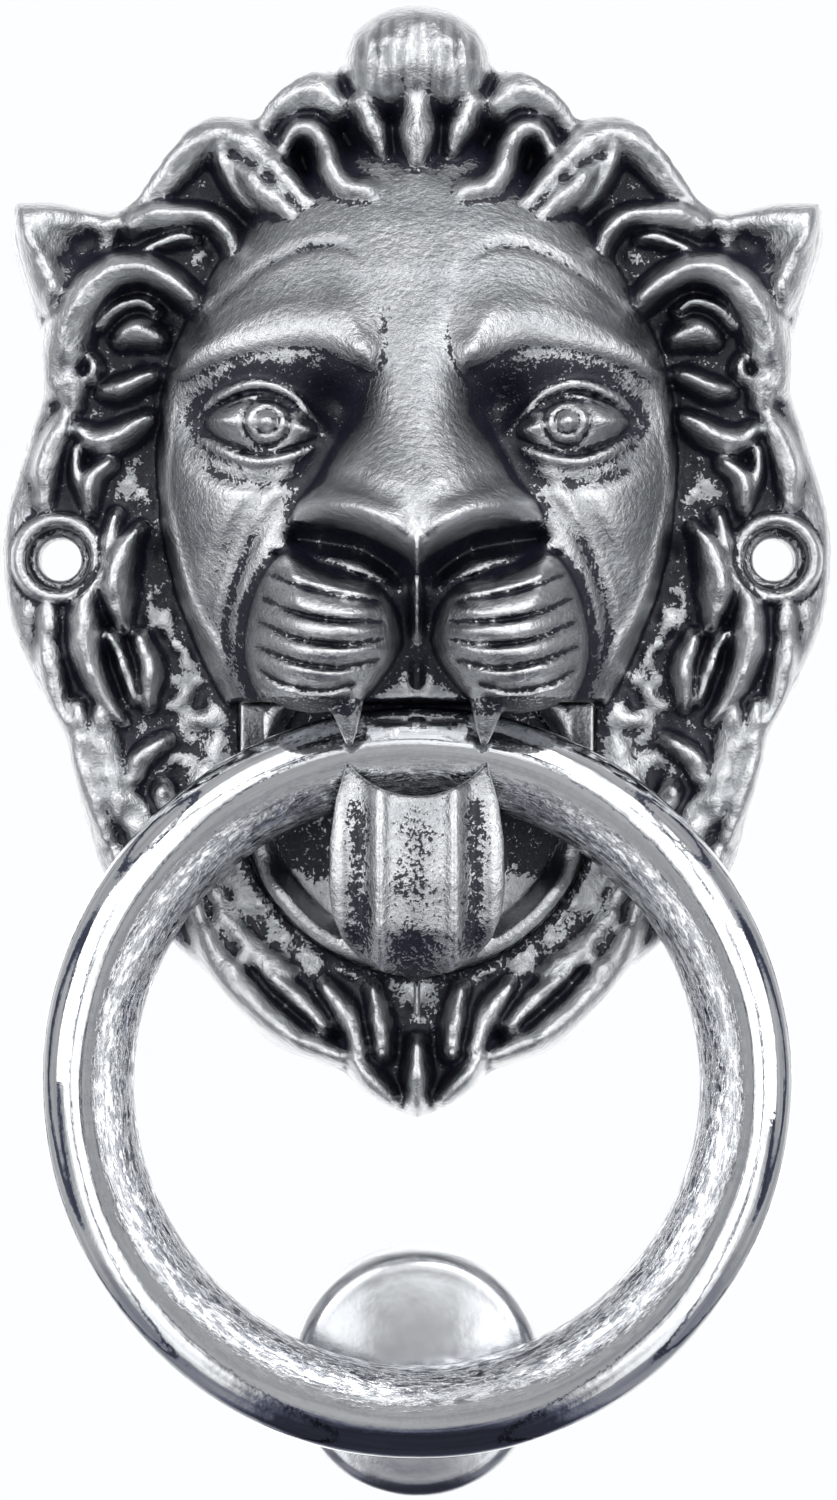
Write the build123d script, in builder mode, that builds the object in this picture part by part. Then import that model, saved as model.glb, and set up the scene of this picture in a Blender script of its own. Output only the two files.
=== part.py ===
from build123d import *
import os

# A lion head door knocker: a hollow cast mask, a jaw with the hook that carries the ring,
# the ring, and a separate striker button.
# Millimetres. The door is the plane Y = 0 and the knocker stands out of it along -Y, +Z is up.
# The origin is midway between the two fixing holes, on the door. A "rise" below is a distance
# in front of the door, so a point at rise r has Y = -r.

# ---- driving dimensions ----

hole_spacing = 92.0           # between the two fixing holes
hole_r = 2.75                 # clearance for an M5 screw
hole_recess_r = 4.0           # shallow recess round the hole, in the front of its boss
hole_recess_depth = 2.0
land_rise = 9.0               # front of the boss round each fixing hole
boss_r = 6.4

rim_rise = 4.0                # thickness of the mask's outer edge
wall = 4.0                    # casting thickness
pan_share = 0.91              # the hollow's outline over the mask's, for much the same wall at the edge
lower_rise = 11.2             # front of the mask where the ring lies over it

ring_mean_r = 41.7            # centreline radius of the ring
ring_tube_r = 6.0             # half the thickness of its bar
ring_rise = 18.1              # its centre plane in front of the door
hinge_z = -25.0               # height of the bar's centre where it hangs in the hook

mouth_z = -30.4               # centre of the round mouth
mouth_r = 22.8                # seat that the jaw is let into
mouth_front_half = 23.7       # half width of the mouth in front of the seat
mouth_roof_z = -18.4          # flat roof of the mouth
pocket_floor = 9.0            # floor of the mouth's front pocket, above the seat
lip_rise = 25.6               # back of the upper lip, which hangs in front of the bar

fang_x = 8.4                  # from the middle to each fang
fang_tip_z = -24.3
fang_rise = 28.3
arch_r = 9.8                  # round gap between the fangs
arch_top_z = -17.9

eye_x = 18.7
eye_z = 16.7
eye_rise = 22.5               # centre of the eyeball
eye_r = 5.0

striker_r = 16.0
striker_z = -104.7
striker_rise = 12.0
stud_r = 2.5                  # M5 stud
stud_proud = 20.0             # how far the stud goes into the door

jaw_screw_x = 12.0            # the two jaw screws, either side of the middle
jaw_screw_z = -9.0
jaw_screw_r = 2.0             # M4
jaw_post_r = 4.6              # post each one is screwed into, behind the face
jaw_post_length = 22.0

# ---- sizes worked out from them ----

clearance = 0.1               # between the jaw and its seat
thread_gap = 0.05             # radial gap between a thread and its hole
hook_r = 7.8                  # hollow of the hook, round the ring's hinge line
hook_half = 11.0              # half the width of the tongue
ring_centre_z = hinge_z - ring_mean_r

pan_floor = lower_rise - wall # floor of the mask's hollow back, and the back of the lower mane
seat_depth = pocket_floor + 0.5

flange_back = 4.5             # the jaw's flange lies between these two rises
flange_front = 7.5
flange_r = 26.0
ear_r = 5.5
washer_thick = 1.0
screw_head_thick = 2.3
screw_head_r = 3.7
screw_length = 12.0
jaw_screw_hole = screw_length - (flange_front - flange_back) - washer_thick + 1.0

# Half outline of the mask, from the top of the crown curl down its +X side to the tip of the beard.
crown_side = [(0, 71.6), (4, 70.8), (7.3, 68.9), (9.4, 66.3), (10.2, 63)]
upper_mane = [(10.2, 63), (14.5, 61.6), (18.6, 58.8), (20.4, 56.3)]
upper_curl = [(20.4, 56.3), (25, 56.8), (28.5, 55.5), (33.5, 49.8), (36.3, 45.6)]
ear_top = [(36.3, 45.6), (41, 45.3), (46.8, 46.5), (51.9, 45.7)]
ear_side = [(51.9, 45.7), (52.6, 41.4), (50.4, 33.8), (48, 25)]
side_mane = [(48, 25), (50.4, 15.9), (53.6, 4.3), (52.9, -7), (49.6, -15.4)]
lower_mane = [(49.6, -15.4), (45.2, -24), (44, -29.9), (40.7, -40.6), (37, -45.5), (31.8, -49.6)]
beard_side = [(31.8, -49.6), (26.2, -54.6), (21.5, -60), (17.9, -63.3), (9.8, -66.2), (6.8, -69), (0, -72.5)]
outline_runs = [crown_side, upper_mane, upper_curl, ear_top, ear_side, side_mane, lower_mane, beard_side]


def front(rise):
    """The plane at a rise in front of the door, facing the viewer: its x is X and its y is Z."""
    return Plane.XZ.offset(rise)


def ellipse_loft(sections, mode=Mode.ADD):
    """Loft through ellipses given as (rise, x, half width, top, bottom)."""
    faces = []
    for rise, x, half_width, top, bottom in sections:
        with BuildSketch(front(rise)) as section:
            with Locations((x, (top + bottom) / 2)):
                Ellipse(half_width, (top - bottom) / 2)
        faces.append(section.sketch)
    loft(faces, mode=mode)


def mouth_outline(half_width, roof_z):
    """A U: straight sides below a flat roof, and a half circle at the bottom."""
    with Locations((0, mouth_z)):
        Circle(half_width)
    with Locations((0, (mouth_z + roof_z) / 2)):
        Rectangle(2 * half_width, roof_z - mouth_z)
    with Locations((0, roof_z + half_width)):
        Rectangle(3 * half_width, 2 * half_width, mode=Mode.SUBTRACT)


def flange_outline(grow=0.0):
    """The jaw's flange: a disc with an ear at each screw."""
    with Locations((0, mouth_z)):
        Circle(flange_r + grow)
    with Locations((-jaw_screw_x, jaw_screw_z), (jaw_screw_x, jaw_screw_z)):
        Circle(ear_r + grow)


# ---- the mask ----

brow_and_cheeks = [
    (9.0, 0, 41.0, 54.0, -26.0),
    (11.0, 0, 40.0, 53.0, -24.0),
    (18.0, 0, 35.0, 48.0, -21.0),
    (25.0, 0, 29.0, 42.0, -18.5),
    (31.0, 0, 20.0, 32.0, -17.0),
    (35.0, 0, 10.0, 22.0, -15.0),
]
muzzle = [
    (16.0, 0, 22.0, 12.0, -20.9),
    (27.0, 0, 21.4, 9.0, -20.8),
    (35.0, 0, 19.5, 7.0, -20.0),
    (41.0, 0, 14.0, 5.0, -15.5),
    (44.5, 0, 6.0, 3.5, -6.0),
]
muzzle_groove_rise = 38.5     # bottom of the groove down the middle of the muzzle
nose_bridge = [               # height, half width and rise of the crest
    (3.0, 12.0, 43.6),
    (9.0, 12.0, 40.4),
    (16.0, 9.0, 36.4),
    (23.0, 7.5, 32.6),
    (31.0, 8.0, 28.0),
]
bridge_half_depth = 9.0
beard = [
    (9.0, 0, 17.0, -53.5, -66.5),
    (13.0, 0, 12.0, -54.5, -65.5),
    (16.0, 0, 6.0, -57.0, -64.0),
]
crown_curl = [
    (9.0, 0, 9.0, 68.5, 54.0),
    (14.0, 0, 8.0, 67.0, 54.5),
    (18.5, 0, 5.0, 64.5, 56.5),
]

# Locks of the mane on the +X side: centre x and z, half length, half width, turn from upright,
# rise of the top.
mane_locks = [
    (13.0, 51.5, 6.5, 3.5, -35, 20.0),
    (21.5, 48.0, 7.5, 4.0, -60, 18.0),
    (30.0, 42.5, 8.0, 4.0, -40, 17.0),
    (35.5, 31.5, 8.5, 4.0, -12, 18.0),
    (39.0, 17.5, 7.5, 3.6, 8, 16.0),
    (37.5, 3.0, 8.0, 4.0, -14, 17.0),
    (43.0, -12.5, 6.5, 3.4, 20, 14.0),
    (35.5, -13.0, 7.5, 3.6, 25, 14.0),
]

with BuildPart() as lion_mask:
    with BuildSketch(front(0)) as mask_outline:
        with BuildLine():
            for run in outline_runs:
                Spline(*run)
            mirror(about=Plane.YZ)
        make_face()
    extrude(amount=rim_rise)
    # the mane steps up from the rim all round
    for rise, share in ((8.0, 0.98), (lower_rise, 0.955)):
        with BuildSketch(front(0)):
            scale(mask_outline.sketch_local, by=share)
        extrude(amount=rise)

    ellipse_loft(brow_and_cheeks)
    ellipse_loft(muzzle)
    ellipse_loft(beard)
    ellipse_loft(crown_curl)

    # locks of the mane, each a tapering oval ridge
    for x, z, half_length, half_width, turn, top in mane_locks:
        for side in (-1, 1):
            for rise, share in ((lower_rise - 2, 1.0), ((lower_rise + top) / 2, 0.85), (top, 0.35)):
                with BuildSketch(front(rise)):
                    with Locations(Location((side * x, z), side * turn)):
                        Ellipse(half_width * share, half_length * share)
            loft()

    # ears
    for side in (-1, 1):
        ellipse_loft([
            (9.0, side * 43.5, 5.0, 41.5, 31.0),
            (13.0, side * 44.0, 4.2, 41.0, 33.0),
            (16.0, side * 44.8, 2.0, 40.0, 36.0),
        ])

    # bridge of the nose, from the brow down to the tip, and the two lobes of the nose
    bridge = []
    for z, half_width, crest in nose_bridge:
        with BuildSketch(Plane.XY.offset(z)) as section:
            with Locations((0, bridge_half_depth - crest)):
                Ellipse(half_width, bridge_half_depth)
        bridge.append(section.sketch)
    loft(bridge)
    for side in (-1, 1):
        ellipse_loft([
            (32.0, side * 8.0, 8.6, 6.8, -1.0),
            (40.0, side * 7.4, 7.8, 6.2, 0.4),
            (44.4, side * 5.6, 4.6, 5.0, 1.6),
        ])

    # brows and eyes
    for side in (-1, 1):
        ellipse_loft([
            (20.0, side * 15.5, 11.5, 31.5, 22.0),
            (30.0, side * 14.0, 9.0, 29.5, 23.0),
            (33.0, side * 12.0, 4.5, 28.0, 24.5),
        ])
        with Locations((side * eye_x, -eye_rise, eye_z)):
            Sphere(eye_r)

    # hollow back: a shallow pan all over, then the room behind the face and the muzzle
    with BuildSketch(front(0)):
        scale(mask_outline.sketch_local, by=pan_share)
    extrude(amount=pan_floor, mode=Mode.SUBTRACT)
    ellipse_loft([
        (pan_floor - 0.5, 0, 34.0, 47.0, -14.0),
        (15.0, 0, 30.0, 42.0, -14.0),
        (21.0, 0, 24.0, 35.0, -13.5),
        (27.0, 0, 14.0, 24.0, -13.0),
    ], mode=Mode.SUBTRACT)
    ellipse_loft([
        (pan_floor - 0.5, 0, 17.0, 4.0, -14.0),
        (27.0, 0, 15.0, 2.0, -14.0),
        (37.0, 0, 8.0, -1.0, -11.0),
    ], mode=Mode.SUBTRACT)

    # posts for the fixing screws and for the jaw screws
    with BuildSketch(front(0)):
        with GridLocations(hole_spacing, 1, 2, 1):
            Circle(boss_r)
    extrude(amount=land_rise)
    with BuildSketch(front(flange_front)):
        with Locations((-jaw_screw_x, jaw_screw_z), (jaw_screw_x, jaw_screw_z)):
            Circle(jaw_post_r)
    extrude(amount=jaw_post_length)

    # the mouth: a pocket in front for the ring, the jaw's seat behind it, and room for its flange
    with BuildSketch(front(pocket_floor)):
        mouth_outline(mouth_front_half, mouth_roof_z)
    extrude(amount=lip_rise - pocket_floor, mode=Mode.SUBTRACT)
    with BuildSketch(front(0)):
        mouth_outline(mouth_r, mouth_roof_z)
    extrude(amount=seat_depth, mode=Mode.SUBTRACT)
    with BuildSketch(front(0)):
        flange_outline(grow=0.5)
    extrude(amount=flange_front, mode=Mode.SUBTRACT)

    # the groove that parts the muzzle in two, from the nose down
    with BuildSketch(Plane.XY.offset(-22.0)):
        with BuildLine():
            Polyline((-2.5, -46.0), (0, -muzzle_groove_rise), (2.5, -46.0), close=True)
        make_face()
    extrude(amount=20.0, mode=Mode.SUBTRACT)

    # round gap under the upper lip, with a fang either side of it
    with BuildSketch(front(lip_rise - 1)):
        with Locations((0, arch_top_z - arch_r)):
            Circle(arch_r)
    extrude(amount=arch_r * 2, mode=Mode.SUBTRACT)
    for side in (-1, 1):
        for z, half_width, half_depth in ((arch_top_z, 2.5, 2.4), (fang_tip_z, 0.6, 0.8)):
            with BuildSketch(Plane((side * fang_x, -fang_rise, z), x_dir=(1, 0, 0), z_dir=(0, 0, -1))):
                Ellipse(half_width, half_depth)
        loft()

    # fixing holes from the front, and blind holes for the jaw screws from behind
    with Locations(front(land_rise)):
        with GridLocations(hole_spacing, 1, 2, 1):
            CounterBoreHole(hole_r, hole_recess_r, hole_recess_depth, depth=land_rise)
    with BuildSketch(front(flange_front)):
        with Locations((-jaw_screw_x, jaw_screw_z), (jaw_screw_x, jaw_screw_z)):
            Circle(jaw_screw_r + thread_gap)
    extrude(amount=jaw_screw_hole, mode=Mode.SUBTRACT)

lion_mask.part.label = "lion_mask"

# ---- the jaw, let into the mouth from behind, with the hook the ring hangs in ----

tongue_tip_x = 8.6            # the two tips that keep the ring in
tongue_tip_z = -26.2
tongue_foot_z = -53.0
tongue_rise = 31.0            # furthest the tongue stands out
hook_back = 10.6              # back of the hook's hollow, where the jaw rises to meet it
hook_front = 26.2             # front of the hollow
root_z = -34.5                # the tongue reaches back to the bowl below this height
root_rise = 6.0
saddle_r = 11.07              # hollow between the tips
saddle_z = -19.2

with BuildPart() as tongue:
    # side profile
    with BuildSketch(Plane.YZ):
        with BuildLine():
            Polyline(
                (-29.4, tongue_tip_z),
                (-hook_front, tongue_tip_z),
                (-hook_front, hinge_z - 1),
                (-hook_back, hinge_z - 1),
                (-hook_back, root_z),
                (-root_rise, root_z),
                (-root_rise, tongue_foot_z),
                (-17, tongue_foot_z),
            )
            Spline(
                (-17, tongue_foot_z),
                (-26, -50.5),
                (-30.2, -44),
                (-tongue_rise, -34),
                (-29.4, tongue_tip_z),
            )
        make_face()
    extrude(amount=hook_half, both=True)
    # outline from the front: two tips, full sides, round foot
    with BuildSketch(front(0)):
        with BuildLine():
            Spline(
                (tongue_tip_x, tongue_tip_z + 1),
                (10.4, -31),
                (hook_half, -41.5),
                (8.6, -49.5),
                (0, tongue_foot_z),
            )
            Line((tongue_tip_x, tongue_tip_z + 1), (0, tongue_tip_z + 1))
            mirror(about=Plane.YZ)
        make_face()
    extrude(amount=tongue_rise + 5, mode=Mode.INTERSECT)
    # hollow that the bar turns in, round the hinge line, and the saddle between the tips
    with BuildSketch(Plane.YZ):
        with Locations((-ring_rise, hinge_z)):
            Circle(hook_r)
    extrude(amount=hook_half + 1, both=True, mode=Mode.SUBTRACT)
    with BuildSketch(front(ring_rise)):
        with Locations((0, saddle_z)):
            Circle(saddle_r)
    extrude(amount=tongue_rise, mode=Mode.SUBTRACT)
    # two grooves down the front, which leave a rim each side and a channel between two ridges
    for groove_x, groove_r in ((-6.6, 1.3), (0, 2.2), (6.6, 1.3)):
        with BuildSketch(Plane.XY.offset(tongue_foot_z + 9)):
            with Locations((groove_x, -tongue_rise - 0.4)):
                Circle(groove_r)
        extrude(amount=30.0, mode=Mode.SUBTRACT)

jaw_front = lower_rise - 0.5  # front of the spigot that fills the seat
lower_lip = 7.5               # how far the lower lip stands in front of the flange

with BuildPart() as jaw_hook:
    # flange behind the mask, and the spigot that fills the seat
    with BuildSketch(front(flange_back)):
        flange_outline()
    extrude(amount=flange_front - flange_back - clearance)
    with BuildSketch(front(flange_back)):
        mouth_outline(mouth_r - clearance, mouth_roof_z - clearance)
    extrude(amount=jaw_front - flange_back)
    # lower lip, standing up round the bowl below the ring
    with BuildSketch(front(flange_front)):
        with Locations((0, mouth_z)):
            Circle(mouth_r - clearance)
        with Locations((0, mouth_z + 12.0)):
            Rectangle(3 * mouth_r, 2 * mouth_r, mode=Mode.SUBTRACT)
    extrude(amount=lower_lip)
    # bowl
    ellipse_loft([
        (flange_front + 0.8, 0, 16.5, mouth_z + 16.5, mouth_z - 16.5),
        (flange_front + 8.0, 0, 21.0, mouth_z + 21.0, mouth_z - 21.0),
    ], mode=Mode.SUBTRACT)
    add(tongue.part)
    # screw holes
    with BuildSketch(front(flange_back)):
        with Locations((-jaw_screw_x, jaw_screw_z), (jaw_screw_x, jaw_screw_z)):
            Circle(jaw_screw_r + 0.2)
    extrude(amount=flange_front, mode=Mode.SUBTRACT)
jaw_hook.part.label = "jaw_hook"

# ---- the ring ----

with BuildPart() as knocker_ring:
    with BuildSketch(Plane.YZ):
        with Locations((-ring_rise, hinge_z)):
            Circle(ring_tube_r)
    revolve(axis=Axis((0, -ring_rise, ring_centre_z), (0, 1, 0)))
knocker_ring.part.label = "knocker_ring"

# ---- the jaw's screws and lock washers ----


def jaw_screw(side):
    """A slotted pan head screw, its head behind the flange."""
    middle = (side * jaw_screw_x, jaw_screw_z)
    head_front = flange_back - washer_thick
    with BuildPart() as screw:
        with BuildSketch(front(head_front - screw_head_thick)):
            with Locations(middle):
                Circle(screw_head_r)
        extrude(amount=screw_head_thick)
        fillet(screw.edges().sort_by(Axis.Y)[-1], radius=0.9)
        with BuildSketch(front(head_front)):
            with Locations(middle):
                Circle(jaw_screw_r)
        extrude(amount=screw_length)
        chamfer(screw.edges().sort_by(Axis.Y)[0], length=0.5)
        with BuildSketch(front(head_front - screw_head_thick)):
            with Locations(Location(middle, side * 25)):
                Rectangle(3 * screw_head_r, 1.1)
        extrude(amount=1.1, mode=Mode.SUBTRACT)
    return screw.part


def jaw_washer(side):
    """A split lock washer, pressed flat."""
    with BuildPart() as washer:
        with BuildSketch(front(flange_back - washer_thick)):
            with Locations((side * jaw_screw_x, jaw_screw_z)):
                Circle(screw_head_r - 0.2)
                Circle(jaw_screw_r + 0.15, mode=Mode.SUBTRACT)
            with Locations(Location((side * jaw_screw_x, jaw_screw_z + 3), 20)):
                Rectangle(0.8, 3.2, mode=Mode.SUBTRACT)
        extrude(amount=washer_thick)
    return washer.part


# ---- the striker ----

stud_depth = 7.0              # how deep the stud is screwed into the button
undercut = 1.0                # length of the stud's neck, where the threads stop

with BuildPart() as striker_button:
    with Locations(front(0)):
        with Locations((0, striker_z)):
            Cylinder(striker_r, striker_rise, align=(Align.CENTER, Align.CENTER, Align.MIN))
    fillet(striker_button.edges().sort_by(Axis.Y)[0], radius=2.0)
    chamfer(striker_button.edges().sort_by(Axis.Y)[-1], length=0.4)
    with BuildSketch(front(0)):
        with Locations((0, striker_z)):
            Circle(stud_r + thread_gap)
    extrude(amount=stud_depth + 0.5, mode=Mode.SUBTRACT)
striker_button.part.label = "striker_button"

with BuildPart() as striker_stud:
    with BuildSketch(front(-stud_proud)):
        with Locations((0, striker_z)):
            Circle(stud_r)
    extrude(amount=stud_proud + stud_depth)
    chamfer(striker_stud.edges().filter_by(GeomType.CIRCLE), length=0.5)
    # undercut between the two threads, half in the button and half in the door
    with BuildSketch(front(-undercut / 2)):
        with Locations((0, striker_z)):
            Circle(stud_r + 1)
            Circle(stud_r - 0.45, mode=Mode.SUBTRACT)
    extrude(amount=undercut, mode=Mode.SUBTRACT)
striker_stud.part.label = "striker_stud"

# ---- output ----

pieces = [lion_mask.part, jaw_hook.part, knocker_ring.part, striker_button.part, striker_stud.part]
for side, word in ((-1, "left"), (1, "right")):
    for piece, name in ((jaw_screw(side), "jaw_screw_"), (jaw_washer(side), "jaw_washer_")):
        piece.label = name + word
        pieces.append(piece)
os.makedirs("parts", exist_ok=True)
for piece in pieces:
    export_step(piece, "parts/" + piece.label + ".step")
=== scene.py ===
"""A lion head door knocker: a cast mask with an antique chrome finish, its ring and its striker."""
import bpy
import functools
import math
import numpy as np
import openvdb
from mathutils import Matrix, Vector


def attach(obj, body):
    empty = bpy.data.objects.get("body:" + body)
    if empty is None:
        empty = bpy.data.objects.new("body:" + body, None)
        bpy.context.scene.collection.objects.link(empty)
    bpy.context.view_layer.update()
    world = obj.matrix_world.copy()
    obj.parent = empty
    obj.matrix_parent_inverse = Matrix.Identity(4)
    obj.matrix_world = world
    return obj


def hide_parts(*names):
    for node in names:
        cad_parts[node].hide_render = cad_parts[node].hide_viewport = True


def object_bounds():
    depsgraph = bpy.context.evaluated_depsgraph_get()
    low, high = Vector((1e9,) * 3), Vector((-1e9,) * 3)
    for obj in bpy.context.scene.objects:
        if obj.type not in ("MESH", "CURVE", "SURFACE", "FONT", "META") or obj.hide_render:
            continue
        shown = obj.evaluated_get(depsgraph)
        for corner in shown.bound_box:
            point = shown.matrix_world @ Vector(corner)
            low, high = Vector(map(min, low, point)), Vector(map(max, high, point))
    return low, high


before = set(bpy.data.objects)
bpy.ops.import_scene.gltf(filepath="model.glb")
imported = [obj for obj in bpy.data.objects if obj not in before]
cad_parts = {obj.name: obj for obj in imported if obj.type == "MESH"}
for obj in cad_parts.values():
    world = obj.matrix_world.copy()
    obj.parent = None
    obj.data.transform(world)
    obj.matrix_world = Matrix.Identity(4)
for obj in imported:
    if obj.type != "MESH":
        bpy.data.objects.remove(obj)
cad_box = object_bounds()

# ---- the relief of the mask's front ----
# Worked out on the +X half and mirrored. In this section lengths are millimetres, x is measured from
# the middle, z up the door, and a rise is a distance in front of the door.

CELL = 0.25  # spacing of the relief's grid
PAST_MIDDLE = 1.0  # how far the grid runs beyond the middle
HALF_WIDTH = 56.0
LOW_Z = -75.0
HIGH_Z = 75.0
column_x = np.arange(-PAST_MIDDLE, HALF_WIDTH, CELL)
row_z = np.arange(LOW_Z, HIGH_Z, CELL)
X, Z = np.meshgrid(column_x, row_z)
NOWHERE = -1e3  # a rise lower than anything, where a shape isn't

# the CAD model's dimensions, a few of them eased by up to 0.6 mm, so that the pieces fit one another
MOUTH_Z = -30.4  # middle of the mouth's round bottom
MOUTH_R = 22.7  # the jaw's radius in the mouth
MOUTH_HALF = 23.7  # the mouth's own half width
ROOF_Z = -18.4  # flat roof of the mouth
LIP_BACK = 25.6  # rise of the upper lip's underside
RING_Z = -66.7  # middle of the ring
RING_R = 41.7  # middle of the ring to the middle of its bar
TUBE_R = 6.0  # radius of the bar
RING_RISE = 18.1  # the bar's middle, from the door
HINGE_Z = -25.0  # the bar's middle at its highest point
HOLE_X = 46.0  # fixing holes
HOLE_R = 2.75
RECESS_R = 4.0  # recess for the fixing screw's head
RECESS_FLOOR = 7.0
BOSS_R = 6.2  # boss behind each fixing hole
BOSS_RISE = 8.6
WALL = 4.0  # thickness of the casting
PAN_FLOOR = 7.2  # the shallow part of the hollow back
SCREW_X = 12.0  # the two screws that hold the jaw
SCREW_Z = -9.0
JAW_POST_R = 4.6  # posts that take them
JAW_POST_TOP = 29.0
TAPPED_R = 2.1
TAPPED_TOP = 16.5
FLANGE_BACK = 4.5  # flange of the jaw, which lies against its seat in the mask
FLANGE_FRONT = 7.5
FLANGE_R = 26.0
FLANGE_ROOM = 0.5
SEAT_FRONT = 9.6  # the step in front of the seat
EAR_R = 5.5  # the flange's ears, round the screws
ARCH_R = 9.8  # round gap under the upper lip
ARCH_TOP_Z = -17.9
ARCH_BACK = 20.0
FANG_X = 8.4
HOOK_R = 7.8  # hollow of the hook
SADDLE_R = 11.07  # hollow between the tongue's tips
SADDLE_Z = -19.2
TONGUE_TOP_Z = -24.4
TONGUE_BACK = 8.0
THROAT_Z = -34.2  # the tongue is solid below this, and above it only in front of the throat
THROAT_FRONT = 25.6
JAW_HOLE_R = 2.2  # holes for the screws in the flange
JAW_HOLE_TOP = 12.0
STRIKER_Z = -104.7

# the visual model's own
MASK_VOXEL = 0.5
JAW_VOXEL = 0.4
LOCK_SPREAD = 1.5  # the sides of a lock of hair, over its own radius
LOCK_FOOT = 6.5  # rise of the ground that the locks stand on
RING_CLEARANCE = 0.25  # between the mask and the swinging ring
UNDER_RING = 11.2  # the mask may not rise further than this behind the ring
CAMERA_DISTANCE = 0.700  # metres
CAMERA_ASIDE = 0.0002  # metres
CAMERA_LENS = 129.2  # millimetres of focal length


def smooth(t):
    """Ease from 0 to 1."""
    t = np.clip(t, 0.0, 1.0)
    return t * t * (3.0 - 2.0 * t)


def rounded(t):
    """Rise from 0 to 1, steeply at first and level at the end."""
    return 1 - (1 - np.clip(t, 0, 1)) ** 2


def bell(a, b=0.0):
    """A soft hill in one or two directions: 1 in the middle, nearly 0 at a distance of 2."""
    return np.exp(-(a**2 + b**2))


def smooth_max(a, b, soft):
    """The larger of two, with the crease between them rounded."""
    h = np.clip(0.5 + 0.5 * (a - b) / soft, 0.0, 1.0)
    return b + (a - b) * h + soft * h * (1.0 - h)


def curve_through(points, closed=False, step=0.3):
    """Points a step apart on a smooth curve through the given ones."""
    p = np.array(points, dtype=float)
    if closed:
        p = np.vstack([p[-1], p, p[0], p[1]])
    else:
        p = np.vstack([2 * p[0] - p[1], p, 2 * p[-1] - p[-2]])
    t = np.linspace(0, 1, 12, endpoint=False)[:, None]
    runs = []
    for a, b, c, d in zip(p[:-3], p[1:-2], p[2:-1], p[3:]):
        runs.append(0.5 * (2 * b + (c - a) * t + (2 * a - 5 * b + 4 * c - d) * t**2
                           + (3 * b - a - 3 * c + d) * t**3))
    runs.append(p[1:2] if closed else p[-2:-1])
    dense = np.vstack(runs)
    length = np.append(0, np.cumsum(np.hypot(*np.diff(dense, axis=0).T)))
    marks = np.linspace(0, length[-1], max(3, int(length[-1] / step) + 1))
    if closed:
        marks = marks[:-1]
    return np.stack([np.interp(marks, length, dense[:, 0]), np.interp(marks, length, dense[:, 1])], axis=1)


def along(values, count):
    """A list of values spread evenly over a curve of count points."""
    values = np.atleast_1d(np.array(values, dtype=float))
    return np.interp(np.linspace(0, 1, count), np.linspace(0, 1, len(values)), values)


def window(points, margin):
    """The part of the grid near some points."""
    x0, z0 = points.min(axis=0) - margin
    x1, z1 = points.max(axis=0) + margin
    i0, i1 = np.searchsorted(row_z, (z0, z1))
    j0, j1 = np.searchsorted(column_x, (x0, x1))
    return slice(i0, i1), slice(j0, j1)


def inside(outline, x, z):
    """How far points lie inside a closed outline; negative outside."""
    a = outline
    b = np.roll(outline, -1, axis=0)
    nearest = np.full(x.shape, 1e9)
    odd = np.zeros(x.shape, dtype=bool)
    for (ax, az), (bx, bz) in zip(a, b):
        ex, ez = bx - ax, bz - az
        length2 = max(ex * ex + ez * ez, 1e-9)
        t = np.clip(((x - ax) * ex + (z - az) * ez) / length2, 0, 1)
        nearest = np.minimum(nearest, (x - ax - t * ex) ** 2 + (z - az - t * ez) ** 2)
        crosses = (az > z) != (bz > z)
        if crosses.any():
            at = ax + (z - az) * ex / (ez if ez else 1e-9)
            odd ^= crosses & (x < at)
    return np.where(odd, 1.0, -1.0) * np.sqrt(nearest)


def swell(h, outline, top, radius, base=None, tilt=(0, 0)):
    """Raise a rounded pad inside an outline: its edge falls off over the radius."""
    points = curve_through(outline, closed=True)
    w = window(points, 1.0)
    depth = inside(points, X[w], Z[w])
    middle = points.mean(axis=0)
    profile = rounded(depth / radius) ** 0.5
    foot = h[w] if base is None else base
    peak = top + tilt[0] * (X[w] - middle[0]) + tilt[1] * (Z[w] - middle[1])
    h[w] = np.maximum(h[w], np.where(depth > 0, foot + (peak - foot) * profile, NOWHERE))


def lock(h, points, radii, tops):
    """Raise a lock of hair, a soft ridge with spreading sides, along a curve."""
    c = curve_through(points)
    for (cx, cz), radius, top in zip(c, along(radii, len(c)) * LOCK_SPREAD, along(tops, len(c))):
        w = window(np.array([[cx, cz]]), radius)
        d2 = ((X[w] - cx) ** 2 + (Z[w] - cz) ** 2) / radius**2
        ridge = np.maximum(1 - d2, 0) ** 0.75
        h[w] = np.maximum(h[w], np.where(d2 < 1, LOCK_FOOT + (top - LOCK_FOOT) * ridge, NOWHERE))


def groove(h, points, radius, depth, fade_share=0.25):
    """Cut a round groove that fades at its two ends; a negative depth leaves a ridge."""
    c = curve_through(points)
    w = window(c, 3 * radius)
    cut = np.zeros(X[w].shape)
    n = len(c)
    fade = np.minimum(1, np.minimum(np.arange(n) + 1, n - np.arange(n)) / (fade_share * n))
    for (cx, cz), share in zip(c, fade):
        cut = np.maximum(cut, share * np.exp(-((X[w] - cx) ** 2 + (Z[w] - cz) ** 2) / radius**2))
    h[w] -= depth * cut


def dent(h, x, z, rx, rz, depth, turn=0.0):
    """Press in a soft oval hollow; a negative depth raises a mound."""
    a = np.radians(turn)
    u = (X - x) * np.cos(a) + (Z - z) * np.sin(a)
    v = -(X - x) * np.sin(a) + (Z - z) * np.cos(a)
    h -= depth * bell(u / rx, v / rz)


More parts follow.
